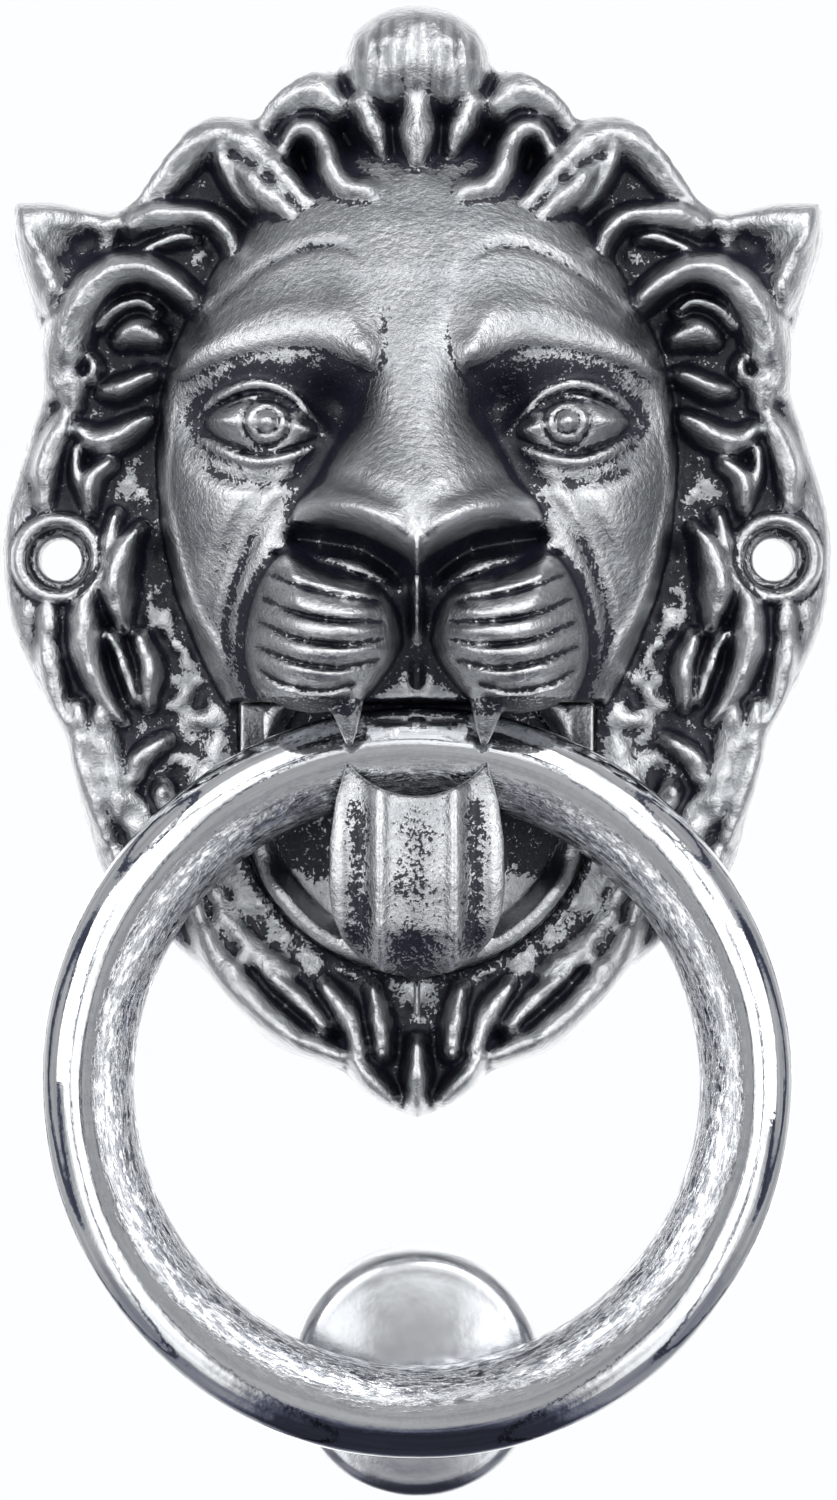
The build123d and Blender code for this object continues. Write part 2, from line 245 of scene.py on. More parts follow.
def blur(field, radius):
    """Soften a field over a radius by three passes of a running mean each way."""
    n = max(1, int(round(radius / CELL)))
    for axis in (0, 1):
        for _ in range(3):
            pad = [(n, n) if k == axis else (0, 0) for k in (0, 1)]
            c = np.cumsum(np.pad(field, pad, mode="edge"), axis=axis)
            c = np.insert(c, 0, 0, axis=axis)
            lo = np.take(c, range(0, c.shape[axis] - 2 * n - 1), axis=axis)
            hi = np.take(c, range(2 * n + 1, c.shape[axis]), axis=axis)
            field = (hi - lo) / (2 * n + 1)
    return field


def table(z_and_value, soft=2.0):
    """A value for each row of the grid, off a list of (z, value), with its corners rounded."""
    zs, vs = zip(*sorted(z_and_value))
    steps = np.linspace(-soft, soft, 17)
    weights = 1 - np.abs(steps) / (soft * 1.06)
    total = sum(w * np.interp(row_z + s, zs, vs) for s, w in zip(steps, weights))
    return (total / weights.sum())[:, None]


def lumps(size, seed):
    """Uneven ground: smooth random lumps of a size in millimetres, about -1 to 1."""
    random = np.random.default_rng(seed)
    tall = HIGH_Z - LOW_Z
    wide = HALF_WIDTH + 4.0
    coarse = random.standard_normal((int(tall / size) + 4, int(wide / size) + 4))
    v = (Z - LOW_Z) / size
    u = (X + PAST_MIDDLE) / size
    i = np.clip(v.astype(int), 0, coarse.shape[0] - 2)
    j = np.clip(u.astype(int), 0, coarse.shape[1] - 2)
    v = smooth(v - i)
    u = smooth(u - j)
    return (coarse[i, j] * (1 - u) * (1 - v) + coarse[i, j + 1] * u * (1 - v)
            + coarse[i + 1, j] * (1 - u) * v + coarse[i + 1, j + 1] * u * v) * 0.6


# the +X half of the mask's outline, crown to chin, as runs of smooth curve between sharp corners
OUTLINE_RUNS = [
    [(0, 71.6), (4, 70.8), (7.3, 68.9), (9.4, 66.3), (10.2, 63)],
    [(10.2, 63), (14.5, 61.6), (18.6, 58.8), (20.4, 56.3)],
    [(20.4, 56.3), (25, 56.8), (28.5, 55.5), (33.5, 49.8), (36.3, 45.6)],
    [(36.3, 45.6), (41, 45.3), (46.8, 46.5), (51.9, 45.7)],
    [(51.9, 45.7), (52.6, 41.4), (50.4, 33.8), (48, 25), (50.4, 15.9), (53.6, 4.3), (52.9, -7),
     (49.6, -15.4)],
    [(49.6, -15.4), (45.2, -24), (44, -29.9), (40.7, -40.6), (37, -45.5), (31.8, -49.6)],
    [(31.8, -49.6), (26.2, -54.6), (21.5, -60), (17.9, -63.3), (9.8, -66.2), (6.8, -69), (0, -72.5)],
]


def mask_outline():
    """The whole outline, the +X half and its mirror image."""
    chin = OUTLINE_RUNS[-1][-1:]
    half = np.vstack([curve_through(run, step=0.8)[:-1] for run in OUTLINE_RUNS] + [chin])
    other = half[-2:0:-1] * (-1, 1)
    return np.vstack([half, other])


# Locks of the mane: centre line, radii along it, rises along it.
LOCKS = [
    # over the forehead, from the crown outwards
    ([(0, 58.5), (0, 54.5), (0, 50.5)], [2.2, 2.6, 1.8], [18.5, 20, 18]),
    ([(7, 58), (5.6, 55), (4.4, 51.5)], [2, 2, 1.2], [17, 18.5, 17]),
    ([(19, 55.5), (17, 58), (13.5, 59.5), (10.5, 58)], [2.6, 3, 3, 2.4], [13, 15, 16, 15]),
    ([(17, 51.8), (15.8, 54.2), (13.5, 54.7), (11.6, 52.2), (10.8, 49), (9, 46.5), (6, 46)],
     [1.1, 1.4, 1.5, 1.7, 1.9, 2.3, 2.3], [15, 17, 18, 19, 20.5, 21, 20.5]),
    ([(25.5, 54.3), (22, 53), (19, 50.5), (16.5, 47.5), (14, 45)],
     [2.4, 2.6, 2.3, 2, 1.6], [14, 16, 17, 18, 18.5]),
    ([(23.5, 50.3), (20.8, 48), (18, 45.4), (16, 43.4)], [1.3, 2, 2.3, 1.6], [14.5, 17.5, 19, 19]),
    ([(36, 44.6), (33, 48), (30, 51.6), (27, 53.6), (24, 54)],
     [1.6, 2.2, 2.4, 2.4, 2.2], [11, 12.5, 14, 15, 15]),
    ([(25, 53), (24.4, 50), (23, 47), (21, 44.5)], [1.6, 1.3, 1.1, 0.9], [15, 15, 14.5, 14]),
    ([(36.5, 42.6), (34, 43.6), (30, 43.9), (26.5, 43.4), (24, 41), (23.4, 38.5)],
     [1.3, 1.7, 1.4, 1.3, 1.4, 1], [13, 15, 15.5, 16, 16, 15]),
    ([(34.6, 39.6), (31, 41), (28.4, 41)], [0.8, 1, 0.7], [12, 13, 13]),
    # the big C curl under the ear and what it holds
    ([(46, 22), (45, 27), (43.8, 31), (41.8, 34.2), (38.6, 36.4), (35, 36.8), (31.6, 35.4), (28.6, 32.8)],
     [1.6, 2.4, 2.6, 2.4, 2.1, 1.8, 1.6, 1.3], [12, 14, 16, 17.5, 18, 18, 18, 17.5]),
    ([(40.6, 29.6), (38.2, 32), (35.2, 32.8), (33.4, 31.6)], [0.8, 0.9, 0.9, 0.7], [12.5, 14, 14.5, 14]),
    ([(37.8, 28), (36, 29), (33.2, 28.2)], [1.2, 1.8, 1.2], [14, 16, 15]),
    ([(45.8, 25), (44.4, 22), (44, 19.8)], [1.6, 2.1, 1.4], [12, 13.5, 12]),
    ([(41.6, 25.6), (41.2, 24.2), (41.8, 23)], [0.8, 1, 0.8], [12.5, 13.5, 12.5]),
    ([(40.2, 21.4), (38.2, 21.6), (35.6, 22.6), (33.6, 23.4)], [0.9, 1.3, 1.2, 0.9], [13, 15.5, 16, 16]),
    ([(43, 16.4), (41, 15), (38, 15.6), (34.2, 17.8)], [1.1, 1.7, 1.6, 0.9], [13, 15, 16, 16.5]),
    ([(39.2, 12.2), (41, 11), (41.9, 9), (41.9, 6.6)], [0.9, 1.2, 1.3, 0.9], [14, 14.5, 14.5, 13.5]),
    # down the side, past the fixing hole
    ([(44.4, 19), (46.4, 15), (47.6, 11), (47.8, 7.4)], [1.2, 1.6, 1.6, 1.3], [11.5, 12.5, 12.5, 11.5]),
    ([(47.4, -6.4), (47.2, -11), (46.4, -16.5), (44.8, -21)], [1.3, 1.5, 1.4, 1], [11, 11.5, 11.5, 11]),
    ([(43.6, 14), (43.6, 11), (42.8, 7.6)], [0.8, 0.9, 0.7], [12, 12.5, 12]),
    ([(38.6, 5.4), (39.4, 2), (39.8, -1.2)], [0.9, 1.1, 0.9], [13.5, 14, 13.5]),
    ([(39.6, -0.6), (41.8, -4), (42.6, -8.5), (42, -13.5), (40.2, -17.5), (37.6, -21)],
     [0.9, 1.5, 1.9, 1.8, 1.2, 0.5], [13, 14.5, 15.5, 15, 13.5, 11.5]),
    ([(35.4, 4), (37.6, 0.6), (38.4, -4), (37.6, -8.8)], [0.6, 1.8, 2, 0.8], [15, 17, 16.5, 14]),
    ([(39.4, -9.5), (37.4, -13.8), (36.2, -18)], [0.7, 1, 0.7], [12.5, 13, 12]),
    ([(35.6, -10), (34.2, -14), (34.4, -19)], [1, 1.4, 0.8], [14, 14, 12]),
    # the long locks at the jaw, under the ring
    ([(43.6, -19), (43, -24.5), (41.6, -30), (39.6, -36)], [1.2, 1.5, 1.4, 1], [11.2, 11.1, 11, 10]),
    ([(40.6, -19.5), (40, -25), (38.6, -30), (35.8, -33.6), (34.6, -38)],
     [1.2, 1.9, 2.2, 2.2, 1.4], [11.6, 11.2, 11.1, 11.1, 10.5]),
    ([(36.6, -28.5), (35.4, -25.6), (32.4, -23.2)], [1, 1.3, 1], [11, 11.6, 12]),
    ([(32.6, -30), (31, -34), (30.6, -39)], [1.4, 1.8, 1.2], [11.2, 11.2, 10.8]),
    ([(38.4, -38), (36, -42.6), (32.6, -46)], [1.2, 1.5, 1.2], [10, 10.4, 10]),
    ([(33.4, -36), (31.4, -42), (29.8, -44.5)], [1, 1.6, 1], [10.6, 11, 10.6]),
    # beard
    ([(29.6, -42.4), (27.2, -48), (23.6, -53.8), (19.4, -58.3), (15, -61.4), (10, -63.6)],
     [1.3, 1.7, 1.8, 1.7, 1.6, 1.3], [10.8, 11.8, 13, 13.8, 14.2, 14.2]),
    ([(26.4, -42), (24.4, -46.4), (21, -50.4), (16.4, -53.2)], [1.2, 2, 2, 1.2], [10.4, 11, 11.6, 12]),
    ([(19.6, -52.6), (15.6, -56), (11.6, -60)], [0.9, 1.4, 1], [12, 13.4, 14]),
    ([(11.8, -54.6), (9.4, -58), (7.4, -62.6)], [1, 1.6, 1.3], [13, 15, 15.6]),
    ([(5.6, -55), (4.8, -59), (4.4, -63)], [1, 1.5, 1.2], [13.6, 15.4, 16]),
    ([(8.2, -63.4), (6.4, -66.2), (3.4, -69.2)], [1.2, 1.5, 1.1], [15, 15.6, 13]),
    ([(0, -62), (0, -66), (0, -70)], [1, 1.5, 1.1], [15.5, 16.5, 13.5]),
]

# outline of the pad beside the nose, and the grooves where its whiskers grow
PAD = [
    (1.7, -9.6), (2.4, -6.4), (4.2, -3.8), (7.4, -2), (11.6, -0.6), (16, 1), (19, -1.6), (21, -6.4),
    (21.7, -12), (20.4, -17), (17, -19.7), (11.6, -20.3), (7, -18.4), (3.8, -15), (2, -12.2),
]
WHISKERS = [
    [(6.4, -3.4), (9.5, -3), (12.6, -1.6), (15.6, -0.2), (18, 0)],
    [(4.4, -6.2), (9, -5.8), (14, -4.6), (18.6, -2.6)],
    [(3.6, -8.6), (9, -8.8), (14.6, -7.8), (19.8, -5.4)],
    [(3.4, -10.8), (9, -11.6), (14.8, -10.8), (20.4, -8.2)],
    [(4.2, -13.2), (9.6, -14.4), (15, -13.6), (20.6, -11.4)],
    [(7.4, -16.2), (11.6, -17.2), (16.2, -16.4), (20, -14.4)],
]


def head():
    """The skull: forehead, cheeks and the broad bridge, a dome with steep sides."""
    half = table([(-26, 21), (-24, 22), (-21, 23.2), (-17, 25.6), (-12, 28), (-5, 30.8), (3, 32.6),
                  (12, 33.4), (20, 33), (26, 31.6), (32, 28.8), (38, 25.4), (44, 20.5), (49, 14.5),
                  (53, 8), (56, 2)])
    crest = table([(-24, 17), (-19, 20.5), (-12, 24), (-4, 26.2), (6, 27.8), (16, 28.6), (24, 29.4),
                   (30, 28.6), (36, 26.2), (42, 22.6), (47, 18.8), (51, 14.5), (56, 9)])
    q = np.clip(X / half, 0, 1)
    foot = 9.0
    dome = foot + (crest - foot) * (1 - q**2.6) ** 0.55
    dent(dome, 7, -3, 10, 6, -4.5)
    return np.where((q < 1) & (Z > -24) & (Z < 55), dome, NOWHERE)


def nose(h):
    """The bridge, widening to two round lobes, which overhang the nostrils."""
    half = table([(0, 12.4), (3, 16), (6, 15.6), (9, 13.4), (12, 11.6), (17, 9), (22, 7.4), (28, 8),
                  (34, 9)], 1.2)
    crest = table([(-2, 42), (1.5, 43.4), (4.5, 43.6), (7, 42.4), (10, 40.2), (14, 37.6), (18, 35.4),
                   (23, 33), (28, 30.4), (33, 26.4), (38, 20)], 1.6)
    q = np.clip(X / half, 0, 1)
    foot = 23.0
    body = foot + (crest - foot - 0.05 * X) * (1 - q**2.6) ** 0.62
    # the lower edge of the lobes: a shallow S from the notch in the middle out to the nostril's corner
    lower = np.interp(X, [0, 1.1, 2.5, 4.4, 7.1, 9.4, 11.6, 14, 16.4],
                      [-2.6, -1.2, -0.1, 1, 2.3, 2.9, 3.2, 3.5, 4.2])
    lobe_foot = 31.0
    lobe_radius = 3.4
    lobe = lobe_foot + (body - lobe_foot) * np.sqrt(rounded((Z - lower) / lobe_radius))
    body = np.where(Z < lower + lobe_radius, lobe, body)
    body = body - 1.1 * bell(X / 1.5, (Z - 1) / 4.5)
    body = np.where((q < 1) & (Z > lower) & (Z < 36), body, NOWHERE)
    groove(body, [(16.4, 5.6), (12, 5.8), (8, 5.2), (4.4, 3.8), (1.4, 1.6)], 1.6, -1.5, 0.12)
    groove(body, [(17, 9.4), (12, 9.2), (7, 8), (3, 6.6), (0, 6)], 1.3, 0.6)
    upper = smooth((Z - 7) / 8)
    joined = smooth_max(h, np.maximum(body, h - 4), 2.8)
    crisp = smooth_max(h, np.maximum(body, h - 2), 0.8)
    return upper * joined + (1 - upper) * crisp


def brow(h):
    """A ridge over each eye: full and sharp at its lower edge, fading up into the forehead."""
    edge = curve_through([(31.4, 23), (29.6, 27.4), (23.5, 32.4), (16.9, 36.6), (11.6, 38.2), (7.8, 37.2),
                          (5, 33.6), (4, 29), (4.2, 25), (5.6, 22.2), (9, 23.8), (13.6, 25.7),
                          (20.2, 25.3), (26, 23.7), (29.6, 22.3)], closed=True)
    w = window(edge, 1)
    rounding = 2.4 + 4.0 * smooth((Z[w] - 23) / 9)
    depth = inside(edge, X[w], Z[w]) / rounding
    profile = 0.6 * rounded(depth) + 0.4 * smooth(depth)
    fade = smooth((37.5 - Z[w] - 0.10 * X[w]) / 12)
    inner = 1.0 + 0.35 * bell((X[w] - 8) / 5)
    h[w] += 2.6 * profile * fade * inner
    dent(h, 7.4, 24.6, 2.6, 1.8, -1.2, turn=-30)
    groove(h, [(5.2, 35), (8, 38), (11.8, 38.9), (17.1, 37.4), (23.9, 33), (31, 26.6)], 0.8, 0.5)


def eye(h):
    """The socket and the hollows round it, the eyeball between its lids, iris and pupil."""
    dent(h, 18.4, 17.6, 9.2, 4.6, 4.8)
    dent(h, 10, 19.2, 3.2, 4.2, 4.6, turn=-30)
    dent(h, 12.2, 11.8, 2.4, 5.2, 2.4, turn=28)
    dent(h, 27.6, 17.4, 3, 4, 1.6)
    eyeball = [(26.8, 16.9), (24, 19.2), (19.6, 20.3), (15.6, 18.9), (12.6, 15.4), (15.4, 13.6), (19.6, 12.7),
               (24.2, 14.2)]
    swell(h, eyeball, 28.4, 4.4, tilt=(-0.10, 0))
    upper_lid = [(28.6, 16.4), (25.6, 19.4), (20.6, 21.3), (16, 20), (13, 17), (10.8, 14.2)]
    lower_lid = [(27.8, 15.6), (24, 13), (19.8, 11.7), (15.6, 12.4), (12.4, 13.8)]
    groove(h, upper_lid, 0.75, -1.9)
    groove(h, lower_lid, 0.75, -1.5)
    # the dark line inside each lid, the iris's two rings, the pupil, and the bag under the eye
    groove(h, [(26.8, 16.8), (24, 18.4), (19.8, 19.4), (15.8, 18.3), (13.4, 15.9)], 0.45, 1)
    groove(h, [(26, 15.4), (23, 14.1), (19.8, 13.4), (16.2, 13.9)], 0.4, 0.7)
    ring = np.hypot(X - 18.8, Z - 16.6)
    h -= 1.1 * bell((ring - 2.9) / 0.42)
    h -= 0.9 * bell((ring - 1.55) / 0.34)
    h += 0.9 * bell(ring / 0.9)
    groove(h, [(28.8, 12.4), (24, 9.6), (18, 8.8), (13, 10)], 1, 0.7)


def muzzle(h):
    """The pad under the nose with its whisker grooves, and what lies between the two pads."""
    swell(h, PAD, 42.4, 8.5, base=20, tilt=(-0.34, 0.10))
    for line in WHISKERS:
        groove(h, line, 0.48, 2.3, 0.08)
    # the thin wall between the nostrils, the split of the lip and the nostrils themselves
    groove(h, [(0, 3), (0, -3), (0, -8), (0, -13)], 0.7, -3.4)
    groove(h, [(0, -10.5), (0, -13.5), (0, -17)], 1, 1.6)
    groove(h, [(1.8, -3.4), (3.6, -1.6), (7, 0.4), (11, 1.3), (16, 2.2)], 1.2, 4, 0.1)


def crown_and_ear(h):
    """The fluted curl at the top, and the ear with its hollow and the fold along it."""
    curl = [(-8, 57), (-10, 62), (-9.4, 66.3), (-7.3, 68.9), (-4, 70.8), (0, 71.5), (4, 70.8), (7.3, 68.9),
            (9.4, 66.3), (10, 62), (8, 57), (0, 55.8)]
    swell(h, curl, 20.5, 6.5, base=4.5)
    for x in (0, 1.7, 3.4, 5.2, 7):
        groove(h, [(x * 0.82, 69), (x, 65), (x * 1.02, 61), (x * 0.9, 58)], 0.55, 1.1)
    ear = [(52.4, 45.6), (51, 46.2), (46.8, 46.2), (41, 45), (37.2, 44.6), (37.6, 41), (40, 37), (43.5, 34),
           (46.4, 30), (49.4, 32.6), (51.8, 40)]
    swell(h, ear, 14.5, 3.2, base=5)
    dent(h, 42.2, 40.4, 4.6, 3, 6.5, turn=-38)
    groove(h, [(51.6, 44), (50.2, 41.4), (47.6, 38), (46.2, 34.4), (46.6, 30.4)], 1, -1.4)


def mane_locks(h):
    """The locks of the mane, the thicker ones with two strands drawn along them."""
    for points, radii, tops in LOCKS:
        lock(h, points, radii, tops)
    for points, radii, _ in LOCKS:
        if max(radii) > 1.4:
            c = curve_through(points)
            side = np.gradient(c, axis=0)
            side = np.stack([-side[:, 1], side[:, 0]], axis=1) / (np.hypot(*side.T)[:, None] + 1e-9)
            for share in (-0.36, 0.3):
                strand = c + side * along(radii, len(c))[:, None] * share
                groove(h, strand[::8], 0.32, 0.45)


def uneven_casting(h, edge):
    """The casting is lumpy between its locks, most of all low down, where the fur is short."""
    h += (0.5 * lumps(2.6, 3) + 0.35 * lumps(1.1, 4)) * smooth(edge / 3)
    cheek_fur = smooth((3.0 - Z) / 10) * smooth((X - 24) / 4) * smooth(edge / 4)
    chin_fur = smooth((-44.0 - Z) / 4) * smooth(edge / 4)
    h += 0.6 * lumps(1.7, 8) * np.maximum(cheek_fur, chin_fur)


def cheek_folds(h):
    """The cheekbone, the folds beside the muzzle and the face's raised border."""
    dent(h, 25, 6, 6, 5, -1)
    groove(h, [(16.8, 7.4), (19.8, 3.4), (22.8, -2.6), (24.4, -9), (23.8, -15), (22.4, -19)], 1.1, 0.9)
    groove(h, [(19, 9), (22.6, 3.4), (25.4, -3), (26.6, -9), (26.2, -14)], 1.4, 0.6)
    groove(h, [(15.2, 12.4), (18.6, 7), (20.4, 2.2)], 0.9, -0.35)
    border = [(31.2, 20), (32, 14.8), (32.4, 9.5), (30.9, 1.5), (28.8, -5.8), (24.6, -13.1), (22.6, -17)]
    groove(h, border, 0.9, -0.9)


def relief():
    """The rise of the mask's front over the grid, and how far inside the outline each point lies."""
    edge = inside(mask_outline(), X, Z)
    # the ground that everything stands on, rounded over at the outline
    ground = table([(-75, 8.6), (-55, 9.2), (-45, 8.2), (-30, 8), (-22, 8), (-10, 8.6), (60, 9)])
    near_mouth = smooth((31.0 - np.hypot(X, Z - MOUTH_Z)) / 5)
    ground = ground + (SEAT_FRONT - ground) * near_mouth
    rim = 3.6
    h = rim + (ground - rim) * rounded(edge / 4.5) ** 0.6
    h = np.where(edge > 0, h, 0)
    crown_and_ear(h)
    mane_locks(h)
    uneven_casting(h, edge)
    h = blur(h, 0.25)
    # room for the ring, which lies over the lower mask
    reach = np.abs(np.hypot(X, Z - RING_Z) - RING_R) - TUBE_R
    low = UNDER_RING + 3.0 * np.clip(reach - 0.4, 0, 30)
    h = np.where(Z < ROOF_Z - 1.5, np.minimum(h, low), h)
    # the face, joined to the mane: softly on the forehead, with a crease elsewhere
    skull = nose(head())
    brow(skull)
    eye(skull)
    cheek_folds(skull)
    skull = np.where(Z < ROOF_Z - 0.4, np.minimum(skull, low), skull)
    muzzle(skull)
    skull += 0.10 * lumps(4, 5)
    creased = np.maximum(skull, h)
    joined = smooth_max(h, np.maximum(skull, h - 3), 2.2)
    on_forehead = smooth((Z - 40) / 5)
    h = np.where(skull > h - 2.5, on_forehead * joined + (1 - on_forehead) * creased, h)
    # flat land round the fixing hole, with a raised rim
    from_hole = np.hypot(X - HOLE_X, Z)
    h = np.where(from_hole < 5.6, np.minimum(h, 9.6), h)
    on_rim = (from_hole < BOSS_R) & (from_hole > RECESS_R)
    h = smooth_max(h, np.where(on_rim, 10.6 - 1.2 * (from_hole - 5) ** 2, NOWHERE), 0.5)
    h = np.where(edge > 0, h, 0)
    return h, edge


# ---- solids on a voxel grid ----


def common(*parts):
    """Distance from what all the parts share."""
    return functools.reduce(np.maximum, parts)


class Solid:
    """A solid as distances on a grid of cubes: negative inside. Axes are x, rise and z, in millimetres."""

    def __init__(self, low, high, voxel):
        self.low = np.array(low, float)
        self.voxel = voxel
        counts = np.ceil((np.array(high) - self.low) / voxel).astype(int) + 1
        axes = [self.low[i] + voxel * np.arange(counts[i]) for i in range(3)]
        self.x = axes[0][:, None, None]
        self.rise = axes[1][None, :, None]
        self.z = axes[2][None, None, :]
        self.distance = np.full(counts, 1e3, dtype=np.float32)

    def add(self, *parts):
        """Join on what the parts share."""
        np.minimum(self.distance, common(*parts), out=self.distance)

    def keep(self, part):
        """Cut away all but the part."""
        np.maximum(self.distance, part, out=self.distance)

    def cut(self, *parts):
        """Cut away what the parts share."""
        np.maximum(self.distance, -common(*parts), out=self.distance)

    def mesh(self):
        """Points in millimetres and four-sided faces of the surface."""
        grid = openvdb.FloatGrid(3.0)
        grid.copyFromArray(np.clip(self.distance / self.voxel, -3.0, 3.0).astype(np.float32))
        points, quads = grid.convertToQuads(0.0)
        return points * self.voxel + self.low, quads


def sample(field, x, z):
    """Read a field of the relief's grid at points on either side of the middle."""
    u = np.clip((np.abs(x) - column_x[0]) / CELL, 0, len(column_x) - 1.001)
    v = np.clip((z - row_z[0]) / CELL, 0, len(row_z) - 1.001)
    i = u.astype(int)
    j = v.astype(int)
    u = u - i
    v = v - j
    return ((1 - u) * (1 - v) * field[j, i] + u * (1 - v) * field[j, i + 1]
            + (1 - u) * v * field[j + 1, i] + u * v * field[j + 1, i + 1])


def slope(field):
    """How much longer a step along the surface is than over the grid, at most about 4 times."""
    dz, dx = np.gradient(field, CELL)
    return np.sqrt(1 + np.minimum(dx * dx + dz * dz, 16.0))


def lowest_near(field, radius):
    """The lowest value of a field within a radius of each point, on both sides of the middle."""
    middle = round(-column_x[0] / CELL)
    reach = round(radius / CELL) + 1
    whole = np.hstack([field[:, middle + reach:middle:-1], field[:, middle:]])
    found = whole.copy()
    directions = 12
    for direction in range(directions):
        angle = 2 * np.pi * direction / directions
        shift = (round(radius / CELL * math.sin(angle)), round(radius / CELL * math.cos(angle)))
        found = np.minimum(found, np.roll(whole, shift, axis=(0, 1)))
    found = found[:, reach:]
    return np.hstack([found[:, middle:0:-1], found])


def rod(s, start, end, r0, r1):
    """Distance from a rod with round ends, tapering from one radius to the other."""
    step = np.array(end, float) - start
    place = (s.x - start[0], s.rise - start[1], s.z - start[2])
    t = np.clip(sum(p * d for p, d in zip(place, step)) / step.dot(step), 0, 1)
    away = np.sqrt(sum((p - t * d) ** 2 for p, d in zip(place, step)))
    return away - (r0 + (r1 - r0) * t)


def post(s, x, z, r, low, high):
    """Distance from a round post standing on the door."""
    return common(np.hypot(s.x - x, s.z - z) - r, low - s.rise, s.rise - high)


def mouth_shape(x, z, half):
    """Distance from the mouth's outline: a flat roof, straight sides and a round bottom."""
    side = np.where(z > MOUTH_Z, np.abs(x) - half, np.hypot(x, z - MOUTH_Z) - half)
    return np.maximum(side, z - ROOF_Z)


def flange_shape(x, z, grow):
    """Distance from the outline of the jaw's flange."""
    disc = np.hypot(x, z - MOUTH_Z) - FLANGE_R
    ear = np.hypot(np.abs(x) - SCREW_X, z - SCREW_Z) - EAR_R
    return np.minimum(disc, ear) - grow


def swung_ring(s, angle):
    """Distance from the ring's bar when the ring is lifted by an angle."""
    out = s.rise - RING_RISE
    up = s.z - HINGE_Z
    flat = out * math.cos(angle) + up * math.sin(angle)
    down = out * math.sin(angle) - up * math.cos(angle)
    across = np.sqrt(s.x**2 + (down - RING_R) ** 2) - RING_R
    return np.sqrt(across**2 + flat**2) - TUBE_R


def hollow_back(h, edge):
    """The rise of the hollow's roof: it follows the front, a wall's thickness behind it."""
    back = blur(h, 2.2) - WALL
    # under steep parts it goes lower, so that the wall isn't thin there either
    back = np.minimum(back, lowest_near(lowest_near(h, 1.2), 2.4) - 1.6)
    back = np.where(edge < WALL, 0.0, back) * smooth((edge - WALL + 0.5) / 1.5)
    # it stays a wall's thickness away from the mouth as well
    from_mouth = smooth((mouth_shape(X, Z, MOUTH_HALF) - WALL + 1.0) / 1.5)
    shallow = np.minimum(back, PAN_FLOOR)
    back = shallow + (back - shallow) * from_mouth
    return np.maximum(blur(back, 0.5), -1.0)


def in_front_of(s, field):
    """Distance from the solid under a surface that is given by its rise."""
    return (s.rise - sample(field, s.x, s.z)) / sample(slope(field), s.x, s.z)


def mask_solid(h, edge, voxel):
    """The hollow casting with its mouth, the jaw's seat, its holes and its fangs."""
    s = Solid((-55, -1, -74), (55, 46.5, 73.5), voxel)
    front = in_front_of(s, h)
    s.add(front)
    s.cut(in_front_of(s, hollow_back(h, edge)))
    # posts for the fixing screws and the jaw's screws
    for side in (-1, 1):
        s.add(post(s, side * HOLE_X, 0.0, BOSS_R, 0.0, BOSS_RISE))
        s.add(post(s, side * SCREW_X, SCREW_Z, JAW_POST_R, FLANGE_FRONT, JAW_POST_TOP), front + 2)
    s.keep(-sample(edge, s.x, s.z))
    s.keep(-s.rise)
    # the mouth, the step in front of the seat, and the seat with room for the flange
    mouth = mouth_shape(s.x, s.z, MOUTH_HALF)
    s.cut(mouth, SEAT_FRONT - 0.4 - s.rise, s.rise - LIP_BACK)
    s.cut(mouth_shape(s.x, s.z, MOUTH_R + 0.2), s.rise - SEAT_FRONT)
    s.cut(flange_shape(s.x, s.z, FLANGE_ROOM), s.rise - FLANGE_FRONT)
    # round gap under the lip
    arch = np.hypot(s.x, s.z - ARCH_TOP_Z + ARCH_R) - ARCH_R
    s.cut(arch, ARCH_BACK - s.rise)
    past_front = 40.0
    for side in (-1, 1):
        s.add(rod(s, (side * (FANG_X + 0.5), 29.2, -17.6), (side * FANG_X, 28.4, -23.6), 2.6, 0.7))
        s.cut(post(s, side * HOLE_X, 0.0, HOLE_R, -5.0, past_front))
        s.cut(post(s, side * HOLE_X, 0.0, RECESS_R, RECESS_FLOOR, past_front))
        s.cut(post(s, side * SCREW_X, SCREW_Z, TAPPED_R, 0.0, TAPPED_TOP))
    # nothing may stand in the way of the ring as it swings
    for degrees in range(60, 109, 6):
        s.cut(swung_ring(s, math.radians(degrees)) - RING_CLEARANCE)
    return s


# the tongue's half width and the rise of its front, from its foot up to its tips
TONGUE_WIDTH_Z = [-53.4, -52.6, -51, -48.5, -45, -41.5, -36, -31, -28, -25]
TONGUE_WIDTH = [0.5, 4.0, 7.0, 9.2, 10.6, 11, 10.9, 10.2, 9.3, 8.5]
TONGUE_FRONT_Z = [-54, -53, -51, -47, -41, -35, -30, -25]
TONGUE_FRONT = [22, 24.5, 27, 29.6, 31, 31, 30.2, 29.0]


